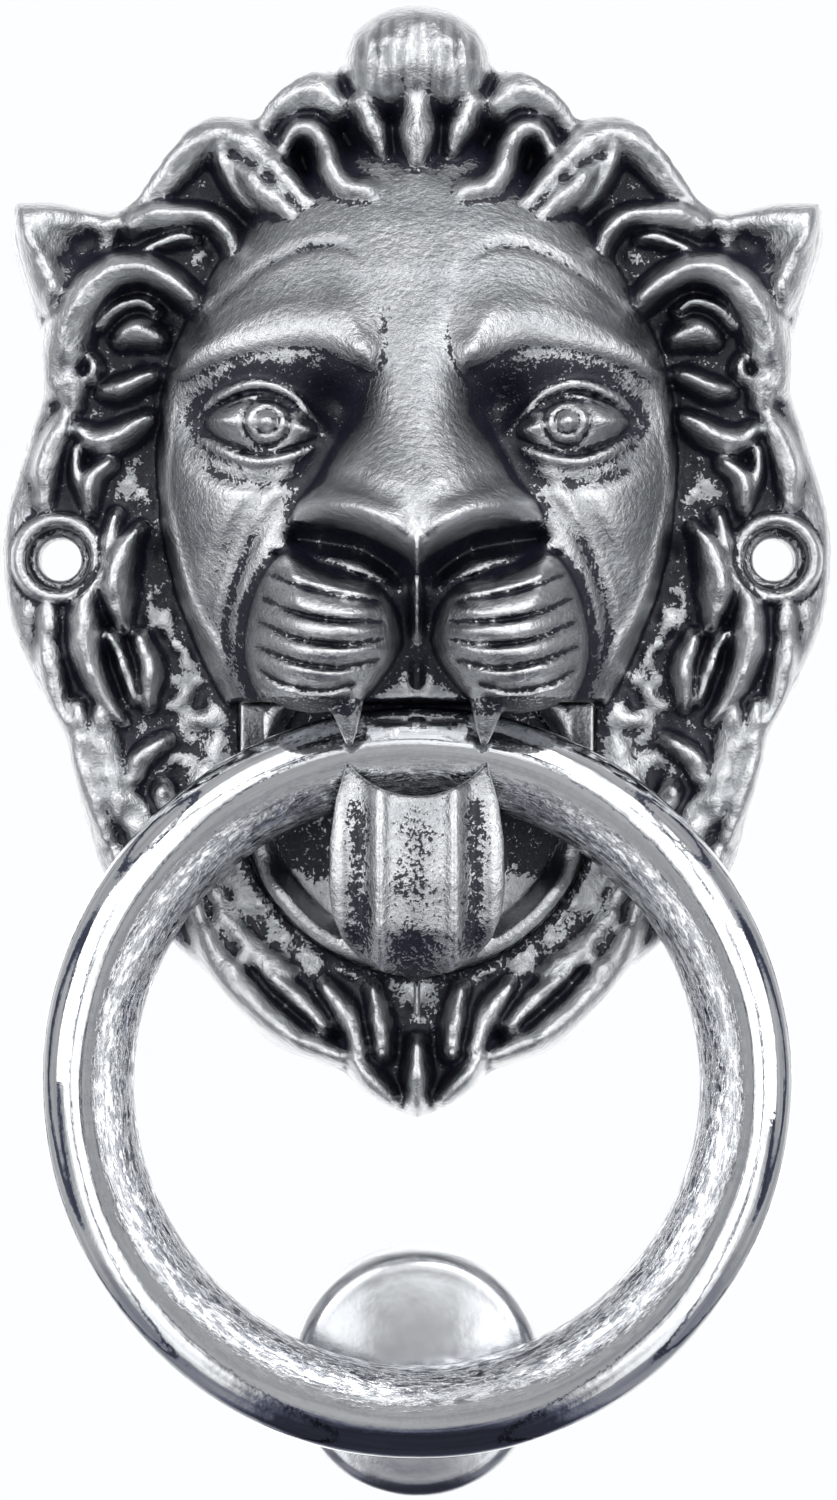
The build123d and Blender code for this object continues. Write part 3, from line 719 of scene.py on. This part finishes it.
def tongue(s):
    """The tongue, which hooks under the ring: pointed tips, ridges down its front."""
    aside = np.abs(s.x)
    width = np.interp(s.z, TONGUE_WIDTH_Z, TONGUE_WIDTH)
    across = aside / np.maximum(width, 0.1)
    front = np.interp(s.z, TONGUE_FRONT_Z, TONGUE_FRONT) - 2.2 * across**4
    # two ridges with a channel outside each and a shallow one between them
    front = front + 1.2 * bell((aside - 4.7) / 0.9)
    front = front - 1.3 * bell((aside - 7.2) / 1.4) - 0.9 * bell(aside / 2.8)
    return common(
        (across - 1) * width,
        s.rise - front,
        TONGUE_BACK - s.rise,
        s.z - TONGUE_TOP_Z,
        # the hook's hollow, the open throat behind the tongue's front, and the saddle between its tips
        HOOK_R - np.sqrt((s.rise - RING_RISE) ** 2 + (s.z - HINGE_Z) ** 2),
        np.minimum(s.z - THROAT_Z, THROAT_FRONT - s.rise),
        SADDLE_R - np.hypot(s.x, s.z - SADDLE_Z),
    )


def jaw_floor(x, z):
    """The rise of the jaw inside the mouth: bowl, lower lip and the filed shoulders beside the roof."""
    around = np.hypot(x, z - MOUTH_Z)
    bowl = 8.4
    lip = 11.0 + 3.4 * smooth((-38.0 - z) / 5.0)
    floor = np.where(around > 18.6, bowl + (lip - bowl) * smooth((around - 18.6) / 2.4), bowl)
    floor = np.minimum(floor, lip - 1.1 * np.clip(around - 21.4, 0, 2) ** 2)
    shoulder = 10.6 + 0.5 * np.clip(np.abs(x) - 19.6, 0, 4) + 0.12 * np.sin(x * 9.0)
    return np.where((z > MOUTH_Z + 1) & (np.abs(x) > 19.4), shoulder, floor)


def jaw_solid(voxel):
    """The jaw: its flange, what fills the mouth, and the tongue."""
    s = Solid((-28, 3, -58), (28, 33, -2), voxel)
    flange = flange_shape(s.x, s.z, 0.0)
    s.add(flange, FLANGE_BACK - s.rise, s.rise - FLANGE_FRONT + 0.1)
    spigot = mouth_shape(s.x, s.z, MOUTH_R) + 0.1
    s.add(spigot, FLANGE_BACK - s.rise, s.rise - jaw_floor(s.x, s.z))
    s.add(tongue(s))
    for side in (-1, 1):
        s.cut(post(s, side * SCREW_X, SCREW_Z, JAW_HOLE_R, 0.0, JAW_HOLE_TOP))
    return s


# ---- Blender meshes ----

MM = 0.001

# How much enamel is left is a number from 0, none, to 1; inside the mouth, the holes and the jaw's bowl the
# same number paints shade black. Chrome shows up to about 0.6, and its line with the enamel is ragged, so
# places well below that still have specks.
BRIGHT = 0.15
WORN = 0.30
PLAIN = 0.42
# painted shade: the level given to the mouth's inside, so that it looks black there
MOUTH_SHADE = 0.75
# the screw recesses' black enamel, which also serves as painted shade down the holes
RECESS_ENAMEL_AND_SHADE = 0.80

# where the face is painted darker: round the eyes, under the brow, by the nostrils, between and on the pads,
# and on the ear; x, z, how wide, how tall, how much
DARK_PATCHES = [
    (9.6, 18.6, 4.6, 4.4, 0.35), (18.5, 21.8, 9.0, 1.8, 0.52), (16.5, 23.4, 8.0, 1.7, 0.62),
    (18.8, 16.6, 4.2, 3.6, 0.24), (24.0, 11.0, 5.5, 2.4, 0.22), (28.0, 17.0, 2.4, 4.0, 0.20),
    (13.0, 11.0, 2.4, 4.0, 0.22), (0.0, -14.5, 3.4, 5.0, 0.40), (9.5, 0.2, 7.0, 1.3, 0.50),
    (3.4, -2.2, 2.2, 2.2, 0.50), (6.0, -6.0, 3.0, 4.0, 0.18), (50.0, 38.0, 2.5, 5.0, 0.25),
]


def mesh_object(name, points, faces):
    """A smooth shaded object from points in metres and a list of faces."""
    mesh = bpy.data.meshes.new(name)
    mesh.from_pydata(np.asarray(points).tolist(), [], faces)
    mesh.update()
    mesh.shade_smooth()
    piece = bpy.data.objects.new(name, mesh)
    bpy.context.scene.collection.objects.link(piece)
    return piece


def relax(points, quads, free, rounds=5):
    """Ease the free points towards the middle of their neighbours, to lose the voxels' steps."""
    a = np.concatenate([quads[:, i] for i in range(4)])
    b = np.concatenate([quads[:, (i + 1) % 4] for i in range(4)])
    count = np.bincount(a, minlength=len(points)) + np.bincount(b, minlength=len(points))
    for _ in range(rounds):
        for axis in range(3):
            total = np.bincount(a, points[b, axis], len(points))
            total = total + np.bincount(b, points[a, axis], len(points))
            points[free, axis] += 0.5 * (total / np.maximum(count, 1) - points[:, axis])[free]


def in_frame(points):
    """Points given as x, rise and z in millimetres, in the frame's metres."""
    return np.stack([points[:, 0], -points[:, 1], points[:, 2]], axis=1) * MM


def paint(piece, name, values):
    """Store one number per point on a piece, for its material to read."""
    layer = piece.data.attributes.new(name, "FLOAT", "POINT")
    layer.data.foreach_set("value", np.ascontiguousarray(values, dtype=np.float32))


def tube_faces(rings, turns, closed):
    """Faces between rings of points, each with the same number of points round it."""
    faces = []
    for i in range(rings if closed else rings - 1):
        j = (i + 1) % rings
        for a in range(turns):
            b = (a + 1) % turns
            faces.append((i * turns + a, i * turns + b, j * turns + b, j * turns + a))
    return faces


def lathe(name, profile, middle_z, turns=128):
    """Turn (radius, rise) pairs about an axis out of the door. A radius may be one for each turn."""
    angle = np.linspace(0, 2 * np.pi, turns, endpoint=False)
    points = []
    for radius, rise in profile:
        across = [radius * np.cos(angle), np.full(turns, rise), middle_z + radius * np.sin(angle)]
        points.append(np.stack(across, axis=1))
    faces = tube_faces(len(profile), turns, closed=False)
    faces.append(tuple(range(turns))[::-1])
    faces.append(tuple(range((len(profile) - 1) * turns, len(profile) * turns)))
    return mesh_object(name, in_frame(np.vstack(points)), faces)


def enamel_map(h):
    """How dark the mask's front is: enamel left in hollows, more darkness in the dark patches and on the
    steep walls by the nostrils, and painted shade in the mouth.
    """
    fine = blur(h, 0.5) - h
    cavity = blur(h, 1.3) - h
    wide = blur(h, 3.5) - h
    dark = 0.28 + 1.6 * fine + 0.30 * cavity + 0.08 * wide
    for cx, cz, rx, rz, amount in DARK_PATCHES:
        dark = dark + amount * bell((X - cx) / rx, (Z - cz) / rz)
    by_nostril = (X < 16.5) & (np.abs(Z - 0.5) < 3.2)
    dark = dark + np.where(by_nostril, 0.8 * smooth((blur(slope(h), 0.4) - 1.7) / 0.8), 0.0)
    on_pads = (X > 2.5) & (X < 18.5) & (Z < -1.0) & (Z > -20.0)
    dark = dark + np.where(on_pads, 2.6 * np.maximum(fine - 0.02, 0), 0.0)
    dark = np.clip(dark, 0.05, 0.84)
    # painted shade: the mouth is black inside
    return np.where(mouth_shape(X, Z, MOUTH_HALF) < 0.5, MOUTH_SHADE, dark)


def make_mask(h, edge):
    """The mask, meshed from its voxels and then drawn onto the exact relief."""
    solid = mask_solid(h, edge, MASK_VOXEL)
    points, quads = solid.mesh()
    x, rise, z = points.T
    exact = sample(h, x, z)
    inward = sample(edge, x, z)
    steep = sample(slope(h), x, z)
    away = np.abs(rise - exact)
    on_front = (away < 0.45) & (inward > 0.5) & (steep < 2.2)
    on_front &= (mouth_shape(x, z, MOUTH_HALF) > 0.4) | (rise > LIP_BACK + 1.5)
    on_front &= np.hypot(np.abs(x) - HOLE_X, z) > RECESS_R + 0.4
    points[on_front, 1] = exact[on_front]
    relax(points, quads, ~on_front & (rise > 0.3))
    piece = mesh_object("lion_mask_casting", in_frame(points), quads.tolist())
    # enamel: the front's map, then the side walls, the recesses with painted shade in the holes, the hollow
    # back, painted shade inside the mouth under the lip, and the fangs
    value = sample(enamel_map(h), x, z)
    value[inward < 0.9] = WORN
    # the screw recesses keep their black enamel, and the walls of the holes are painted black as the shade
    # seen down them
    value[(np.hypot(np.abs(x) - HOLE_X, z) < RECESS_R + 0.4) & (rise < exact + 1)] = RECESS_ENAMEL_AND_SHADE
    behind = rise < exact - 1.5
    value[behind] = PLAIN
    # painted shade: the mouth's walls under the lip are black
    value[(mouth_shape(x, z, MOUTH_HALF + 0.6) < 0) & (rise < LIP_BACK + 0.6) & behind] = MOUTH_SHADE
    value[(np.abs(np.abs(x) - FANG_X) < 3.2) & (z < -20.2) & (rise > LIP_BACK - 0.8)] = BRIGHT
    paint(piece, "hollow", value)
    # the polishing wheel reached the muzzle and every ridge
    ridge = -(blur(h, 0.5) - h + 0.02)
    polish = smooth((h - 33.0) / 4.0) * smooth((6.0 - Z) / 4.0) + smooth(ridge / 0.10)
    paint(piece, "polish", np.where(behind, 0.1, sample(polish, x, z)))
    return piece


def make_jaw():
    """The jaw with its tongue; bright on the lip, and the upper part of the bowl black with painted shade."""
    solid = jaw_solid(JAW_VOXEL)
    points, quads = solid.mesh()
    x, rise, z = points.T
    relax(points, quads, np.full(len(points), True), rounds=2)
    piece = mesh_object("jaw_hook_casting", in_frame(points), quads.tolist())
    value = np.full(len(x), 0.40)
    from_middle = np.hypot(x, z - MOUTH_Z)
    in_bowl = (from_middle < 19.0) & (rise > 7.0) & (rise < 12.0)
    # painted shade: the bowl is black high up, under the upper lip, and turns to chrome lower down
    value = np.where(in_bowl, 0.22 + 0.60 * smooth((z + 43.0) / 4.0), value)
    aside = np.abs(x)
    lip = (from_middle > 19.0) & (rise > 9.0)
    value[lip & (aside < 22.9)] = 0.26
    # the tongue: bright rims and ridges, dark strips between them and a pitted foot
    on_tongue = (rise > 21) & (aside < 11.3)
    strips = 0.42 * bell((aside - 7.3) / 1.5) * smooth((-29.0 - z) / 3.0) * smooth((z + 51.0) / 4.0)
    ridges = -0.16 * bell((aside - 4.8) / 0.8) - 0.16 * smooth((aside - 9.0) / 1.0)
    middle = 0.20 * bell(x / 3.0) * smooth((-31.0 - z) / 3.0)
    foot = 0.22 * smooth((-46.0 - z) / 3.0) * smooth((7.5 - aside) / 2.0)
    value = np.where(on_tongue, 0.34 + strips + ridges + middle + foot, value)
    paint(piece, "hollow", value)
    polish = np.where(on_tongue & (ridges < -0.05), 1.0, 0.25)
    paint(piece, "polish", np.where(lip & (rise < 16), 0.9, polish))
    return piece


def make_ring():
    """The ring, painted with how much each point faces its middle and how much the front."""
    around, across = ((900, 96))
    a = np.linspace(0, 2 * np.pi, around, endpoint=False)[:, None]
    b = np.linspace(0, 2 * np.pi, across, endpoint=False)[None, :]
    # the bar isn't quite round or even: it was cast and then buffed by hand
    bar = TUBE_R - 0.05 + 0.03 * np.sin(5 * a + 2 * b) + 0.02 * np.sin(13 * a - 3 * b + 1.0)
    bar = bar - 0.035 * np.cos(4 * b + 0.6 * np.sin(3 * a)) - 0.012 * np.cos(11 * b + 0.5 * np.sin(2 * a))
    r = RING_R + bar * np.cos(b)
    points = np.stack([r * np.cos(a), RING_RISE + bar * np.sin(b), RING_Z + r * np.sin(a)], axis=-1)
    faces = tube_faces(around, across, closed=True)
    piece = mesh_object("knocker_ring_bar", in_frame(points.reshape(-1, 3)), faces)
    paint(piece, "inner", np.broadcast_to(-np.cos(b), (around, across)).ravel())
    paint(piece, "front", np.broadcast_to(np.sin(b), (around, across)).ravel())
    return piece


def make_striker():
    """The button: a straight side, a rounded shoulder and a slightly crowned face."""
    side_r = 16.0
    side_top = 6.2
    face_r = 13.4
    face_rise = 10.0
    crown = 1.95
    profile = [(2.55, 0.0), (15.2, 0.0), (15.7, 0.15), (side_r, 0.6), (side_r, side_top)]
    shoulder_steps = 8
    for step in range(1, shoulder_steps + 1):
        turn = math.radians(90 * step / shoulder_steps)
        radius = face_r + (side_r - face_r) * math.cos(turn)
        profile.append((radius, side_top + (face_rise - side_top) * math.sin(turn)))
    face_steps = 12
    for step in range(1, face_steps + 1):
        radius = face_r * (1 - step / face_steps)
        profile.append((max(radius, 0.05), face_rise + crown * (1 - (radius / face_r) ** 2)))
    piece = lathe("striker_button_dome", profile, STRIKER_Z)
    paint(piece, "worn", np.ones(len(piece.data.vertices)))
    return piece


def make_stud():
    """The M5 stud: a thread with tapered ends and a plain neck where it enters the button."""
    pitch = 0.8
    crest_r = 2.48
    thread_depth = 0.42
    neck_r = 2.05
    taper = 0.6
    low, high = -19.9, 6.9
    turns = 32
    round_it = np.arange(turns) / turns
    profile = []
    for rise in np.arange(low, high + 0.05, 0.1):
        end = min(1.0, (rise - low) / taper, (high - rise) / taper)
        flank = np.abs(2 * ((rise / pitch + round_it) % 1.0) - 1)
        radius = crest_r - 0.5 * (1 - end) - thread_depth * flank
        profile.append((neck_r if -taper < rise < taper else radius, rise))
    return lathe("striker_stud_thread", profile, STRIKER_Z, turns)


# ---- materials ----


def new_node(tree, kind, inputs=None, **settings):
    """Add a shader node, set its properties, then its inputs: a value, or an output to link."""
    made = tree.nodes.new("ShaderNode" + kind)
    for key, value in settings.items():
        setattr(made, key, value)
    for key, value in (inputs or {}).items():
        socket = made.inputs[key]
        if isinstance(value, bpy.types.NodeSocket):
            tree.links.new(value, socket)
        else:
            socket.default_value = value
    return made


def maths(tree, operation, *values):
    """The result of an operation on numbers and outputs of nodes."""
    return new_node(tree, "Math", dict(enumerate(values)), operation=operation).outputs[0]


def times(tree, a, b):
    return maths(tree, "MULTIPLY", a, b)


def ease(tree, value, low, high, to_low=0.0, to_high=1.0):
    """Map a value smoothly from low..high to two levels."""
    inputs = {"Value": value, "From Min": low, "From Max": high, "To Min": to_low, "To Max": to_high}
    return new_node(tree, "MapRange", inputs, interpolation_type="SMOOTHSTEP").outputs["Result"]


def noise(tree, scale, detail=3.0, roughness=0.5):
    """Noise over the object, its scale in lumps per millimetre."""
    where = new_node(tree, "TexCoord").outputs["Object"]
    inputs = {"Vector": where, "Scale": scale / MM, "Detail": detail, "Roughness": roughness}
    return new_node(tree, "TexNoise", inputs).outputs["Fac"]


def attribute(tree, name):
    return new_node(tree, "Attribute", attribute_name=name).outputs["Fac"]


def bump(tree, height, distance_mm, normal=None):
    inputs = {"Height": height, "Strength": 1.0, "Distance": distance_mm * MM}
    if normal is not None:
        inputs["Normal"] = normal
    return new_node(tree, "Bump", inputs).outputs["Normal"]


def make_material(build):
    """A material whose surface a function builds; it takes the function's name."""
    material = bpy.data.materials.new(build.__name__)
    material.use_nodes = True
    tree = material.node_tree
    tree.nodes.clear()
    new_node(tree, "OutputMaterial", {"Surface": build(tree)})
    return material


def surface(tree, colour, roughness, normal, metallic=1.0):
    inputs = {"Metallic": metallic, "Base Color": colour, "Roughness": roughness, "Normal": normal}
    return new_node(tree, "BsdfPrincipled", inputs).outputs[0]


def blend(tree, factor, low, high):
    """Blend two colours by a factor."""
    mix = new_node(tree, "Mix", {"Factor": factor}, data_type="RGBA")
    mix.inputs["A"].default_value = (*low, 1)
    mix.inputs["B"].default_value = (*high, 1)
    return mix.outputs["Result"]


def antique_chrome(tree):
    """Chrome on the raised parts and black enamel left in the hollows, with a ragged line between them; the
    same black stands for painted shade in the mouth, the holes and the jaw's bowl.
    """
    ragged = attribute(tree, "hollow")
    large = noise(tree, 0.22, 4, 0.6)
    middle = noise(tree, 1.1, 5, 0.65)
    fine = noise(tree, 2.8, 3, 0.6)
    for grain, share in ((large, 0.70), (middle, 1.30), (fine, 1.10)):
        ragged = maths(tree, "MULTIPLY_ADD", maths(tree, "SUBTRACT", grain, 0.5), share, ragged)
    enamel_and_shade = ease(tree, ragged, 0.585, 0.625)
    dull = ease(tree, noise(tree, 0.12, 5, 0.7), 0.35, 0.65)
    polish = attribute(tree, "polish")
    bright = maths(tree, "ADD", times(tree, dull, 0.45), times(tree, polish, 0.7))
    colour = blend(tree, bright, (0.36, 0.375, 0.39), (0.66, 0.67, 0.68))
    roughness = ease(tree, maths(tree, "SUBTRACT", middle, polish), -0.6, 0.6, 0.04, 0.20)
    chrome = surface(tree, colour, roughness, bump(tree, fine, 0.05, bump(tree, middle, 0.25)))
    roughness = ease(tree, fine, 0.3, 0.7, 0.25, 0.5)
    enamel = surface(tree, (0.009, 0.010, 0.021, 1), roughness, bump(tree, fine, 0.10), metallic=0.0)
    return new_node(tree, "MixShader", {0: enamel_and_shade, 1: chrome, 2: enamel}).outputs[0]


def polished_chrome(tree):
    """Bright chrome over a bar whose inner side still shows the casting's fine pits, darkened there as a
    painted reflection of the dark mane.
    """
    inner = attribute(tree, "inner")
    soft = noise(tree, 0.35, 3, 0.5)
    where = new_node(tree, "TexCoord").outputs["Object"]
    place = new_node(tree, "SeparateXYZ", {0: where}).outputs

    def drawn_out(scale, detail, share):
        """Noise that changes quickly round the bar and slowly along it, with no seam."""
        drawn = new_node(tree, "CombineXYZ", {
            "X": times(tree, place["X"], share),
            "Y": times(tree, inner, TUBE_R * MM),
            "Z": times(tree, attribute(tree, "front"), TUBE_R * MM),
        }).outputs[0]
        inputs = {"Vector": drawn, "W": times(tree, place["Z"], share),
                  "Scale": scale / MM, "Detail": detail, "Roughness": 0.6}
        return new_node(tree, "TexNoise", inputs, noise_dimensions="4D").outputs["Fac"]

    streak = drawn_out(2.2, 2, 0.02)
    pits = drawn_out(1.8, 4, 0.30)
    pitted = ease(tree, maths(tree, "MULTIPLY_ADD", streak, 0.9, inner), 0.35, 1.15)
    pits_and_dark_reflection = times(tree, ease(tree, pits, 0.42, 0.62), pitted)
    height = maths(tree, "MULTIPLY_ADD", streak, 0.30, times(tree, pits_and_dark_reflection, -1.0))
    smooth_finish = ease(tree, soft, 0.3, 0.7, 0.03, 0.09)
    # the pits are painted dark, most on the inner side, as the mane's dark reflection there
    colour = blend(tree, pits_and_dark_reflection, (0.74, 0.755, 0.775), (0.22, 0.23, 0.26))
    roughness = maths(tree, "MULTIPLY_ADD", attribute(tree, "worn"), 0.18, smooth_finish)
    return surface(tree, colour, roughness, bump(tree, height, 0.06, bump(tree, soft, 0.06)))


def bright_steel(tree):
    """Plated steel of the screws, washers and stud, faintly uneven."""
    fine = noise(tree, 2.5, 4, 0.6)
    colour = blend(tree, fine, (0.45, 0.45, 0.44), (0.68, 0.67, 0.64))
    return surface(tree, colour, ease(tree, fine, 0.3, 0.7, 0.22, 0.38), bump(tree, fine, 0.03))


def pale_floor(tree):
    colour = blend(tree, noise(tree, 0.01, 2, 0.5), (0.80, 0.80, 0.80), (0.86, 0.86, 0.86))
    return new_node(tree, "BsdfPrincipled", {"Base Color": colour, "Roughness": 0.8}).outputs[0]


def dress(piece, material):
    piece.data.materials.clear()
    piece.data.materials.append(material)


# ---- studio ----


def studio_world():
    """A white room to look at; the chrome sees soft panels with dark gaps between them."""
    world = bpy.data.worlds.new("studio")
    bpy.context.scene.world = world
    world.use_nodes = True
    tree = world.node_tree
    tree.nodes.clear()
    direction = new_node(tree, "TexCoord").outputs["Generated"]
    right, forward, up = new_node(tree, "SeparateXYZ", {0: direction}).outputs
    aside = maths(tree, "ABSOLUTE", right)
    behind_camera = times(tree, forward, -1.0)

    def band(value, low, high, soft, strength):
        rise = ease(tree, value, low - soft, low + soft)
        fall = ease(tree, value, high - soft, high + soft, 1.0, 0.0)
        return times(tree, times(tree, rise, fall), strength)

    # soft panels either side of the camera and above it, a dim floor, and the white room beyond the door
    panels = maths(tree, "ADD", band(aside, 0.30, 0.80, 0.07, 1.1), band(up, 0.38, 0.78, 0.08, 0.75))
    panels = times(tree, panels, ease(tree, behind_camera, 0.25, 0.50))
    bare_wall = 0.46
    level = maths(tree, "ADD", bare_wall, panels)
    level = maths(tree, "ADD", level, ease(tree, behind_camera, -0.9, -0.5, 0.9, 0.0))
    low_down = ease(tree, up, -0.80, -0.45, 0.10, 1.0)
    to_the_sides = ease(tree, aside, 0.30, 0.50, 0.0, 0.7)
    level = times(tree, level, maths(tree, "MAXIMUM", low_down, to_the_sides))
    # thin dark gaps between the panels
    gaps = ((aside, 0.22, 0.012), (aside, 0.64, 0.02), (aside, 0.93, 0.03), (up, 0.56, 0.02))
    for value, at, width in gaps:
        gap = maths(tree, "ABSOLUTE", maths(tree, "SUBTRACT", value, at))
        level = times(tree, level, ease(tree, gap, width * 0.5, width * 1.5, 0.2, 1.0))
    uneven = new_node(tree, "TexNoise", {"Vector": direction, "Scale": 3.0, "Detail": 3.0})
    level = times(tree, level, ease(tree, uneven.outputs["Fac"], 0.3, 0.7, 0.8, 1.2))
    tint = blend(tree, ease(tree, level, 0.05, 0.5), (0.62, 0.68, 1.0), (0.98, 0.99, 1.0))
    # the camera itself sees plain white, and nothing is more than three times as bright
    seen = new_node(tree, "LightPath").outputs["Is Camera Ray"]
    ceiling = maths(tree, "SUBTRACT", 3.0, times(tree, seen, 2.0))
    level = maths(tree, "MINIMUM", maths(tree, "MAXIMUM", level, seen), ceiling)
    background = new_node(tree, "Background", {"Color": tint, "Strength": level})
    new_node(tree, "OutputWorld", {"Surface": background.outputs[0]})


def add_light(name, place, size, power):
    """A square soft light aimed at the middle of the knocker."""
    light = bpy.data.lights.new(name, "AREA")
    light.size = size
    light.energy = power
    lamp = bpy.data.objects.new(name, light)
    lamp.location = place
    aim = Vector((0, 0, -0.02)) - Vector(place)
    lamp.rotation_euler = aim.to_track_quat("-Z", "Y").to_euler()
    bpy.context.scene.collection.objects.link(lamp)


def add_camera():
    """Square on to the door, level with the middle of the whole knocker."""
    low, high = cad_box
    data = bpy.data.cameras.new("camera")
    data.lens = CAMERA_LENS
    camera = bpy.data.objects.new("camera", data)
    camera.location = (CAMERA_ASIDE, -CAMERA_DISTANCE, (low[2] + high[2]) / 2)
    camera.rotation_euler = (math.radians(90), 0, 0)
    bpy.context.scene.collection.objects.link(camera)
    bpy.context.scene.camera = camera


def add_floor():
    """A plain pale floor, well below the knocker and kept out of its reflections."""
    size = 7.0
    height = -1.2
    points = [(-size, -size, height), (size, -size, height), (size, size, height), (-size, size, height)]
    floor = mesh_object("floor", points, [(0, 1, 2, 3)])
    dress(floor, make_material(pale_floor))
    floor.visible_glossy = False


# ---- the knocker ----

height_map, edge_map = relief()

chrome, bright, steel = (make_material(build) for build in (antique_chrome, polished_chrome, bright_steel))

pieces = [
    (make_mask(height_map, edge_map), "lion_mask", "fixed", chrome, "antique_chrome"),
    (make_jaw(), "jaw_hook", "fixed", chrome, "antique_chrome"),
    (make_ring(), "knocker_ring", "ring", bright, "polished_chrome"),
    (make_striker(), "striker_button", "fixed", bright, "polished_chrome"),
    (make_stud(), "striker_stud", "fixed", steel, "fastener_steel"),
]
for piece, node, body, material, slot in pieces:
    dress(piece, material)
    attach(piece, body)
    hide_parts(node)
for name in ("jaw_screw_left", "jaw_screw_right", "jaw_washer_left", "jaw_washer_right"):
    dress(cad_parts[name], steel)

studio_world()
add_light("key", (0.25, -0.55, 0.65), 0.40, 1.6)
add_light("left", (-0.75, -0.45, 0.15), 0.5, 1.6)
add_light("right", (0.80, -0.50, 0.05), 0.5, 1.2)
add_floor()
add_camera()
bpy.context.scene.view_settings.view_transform = "Standard"
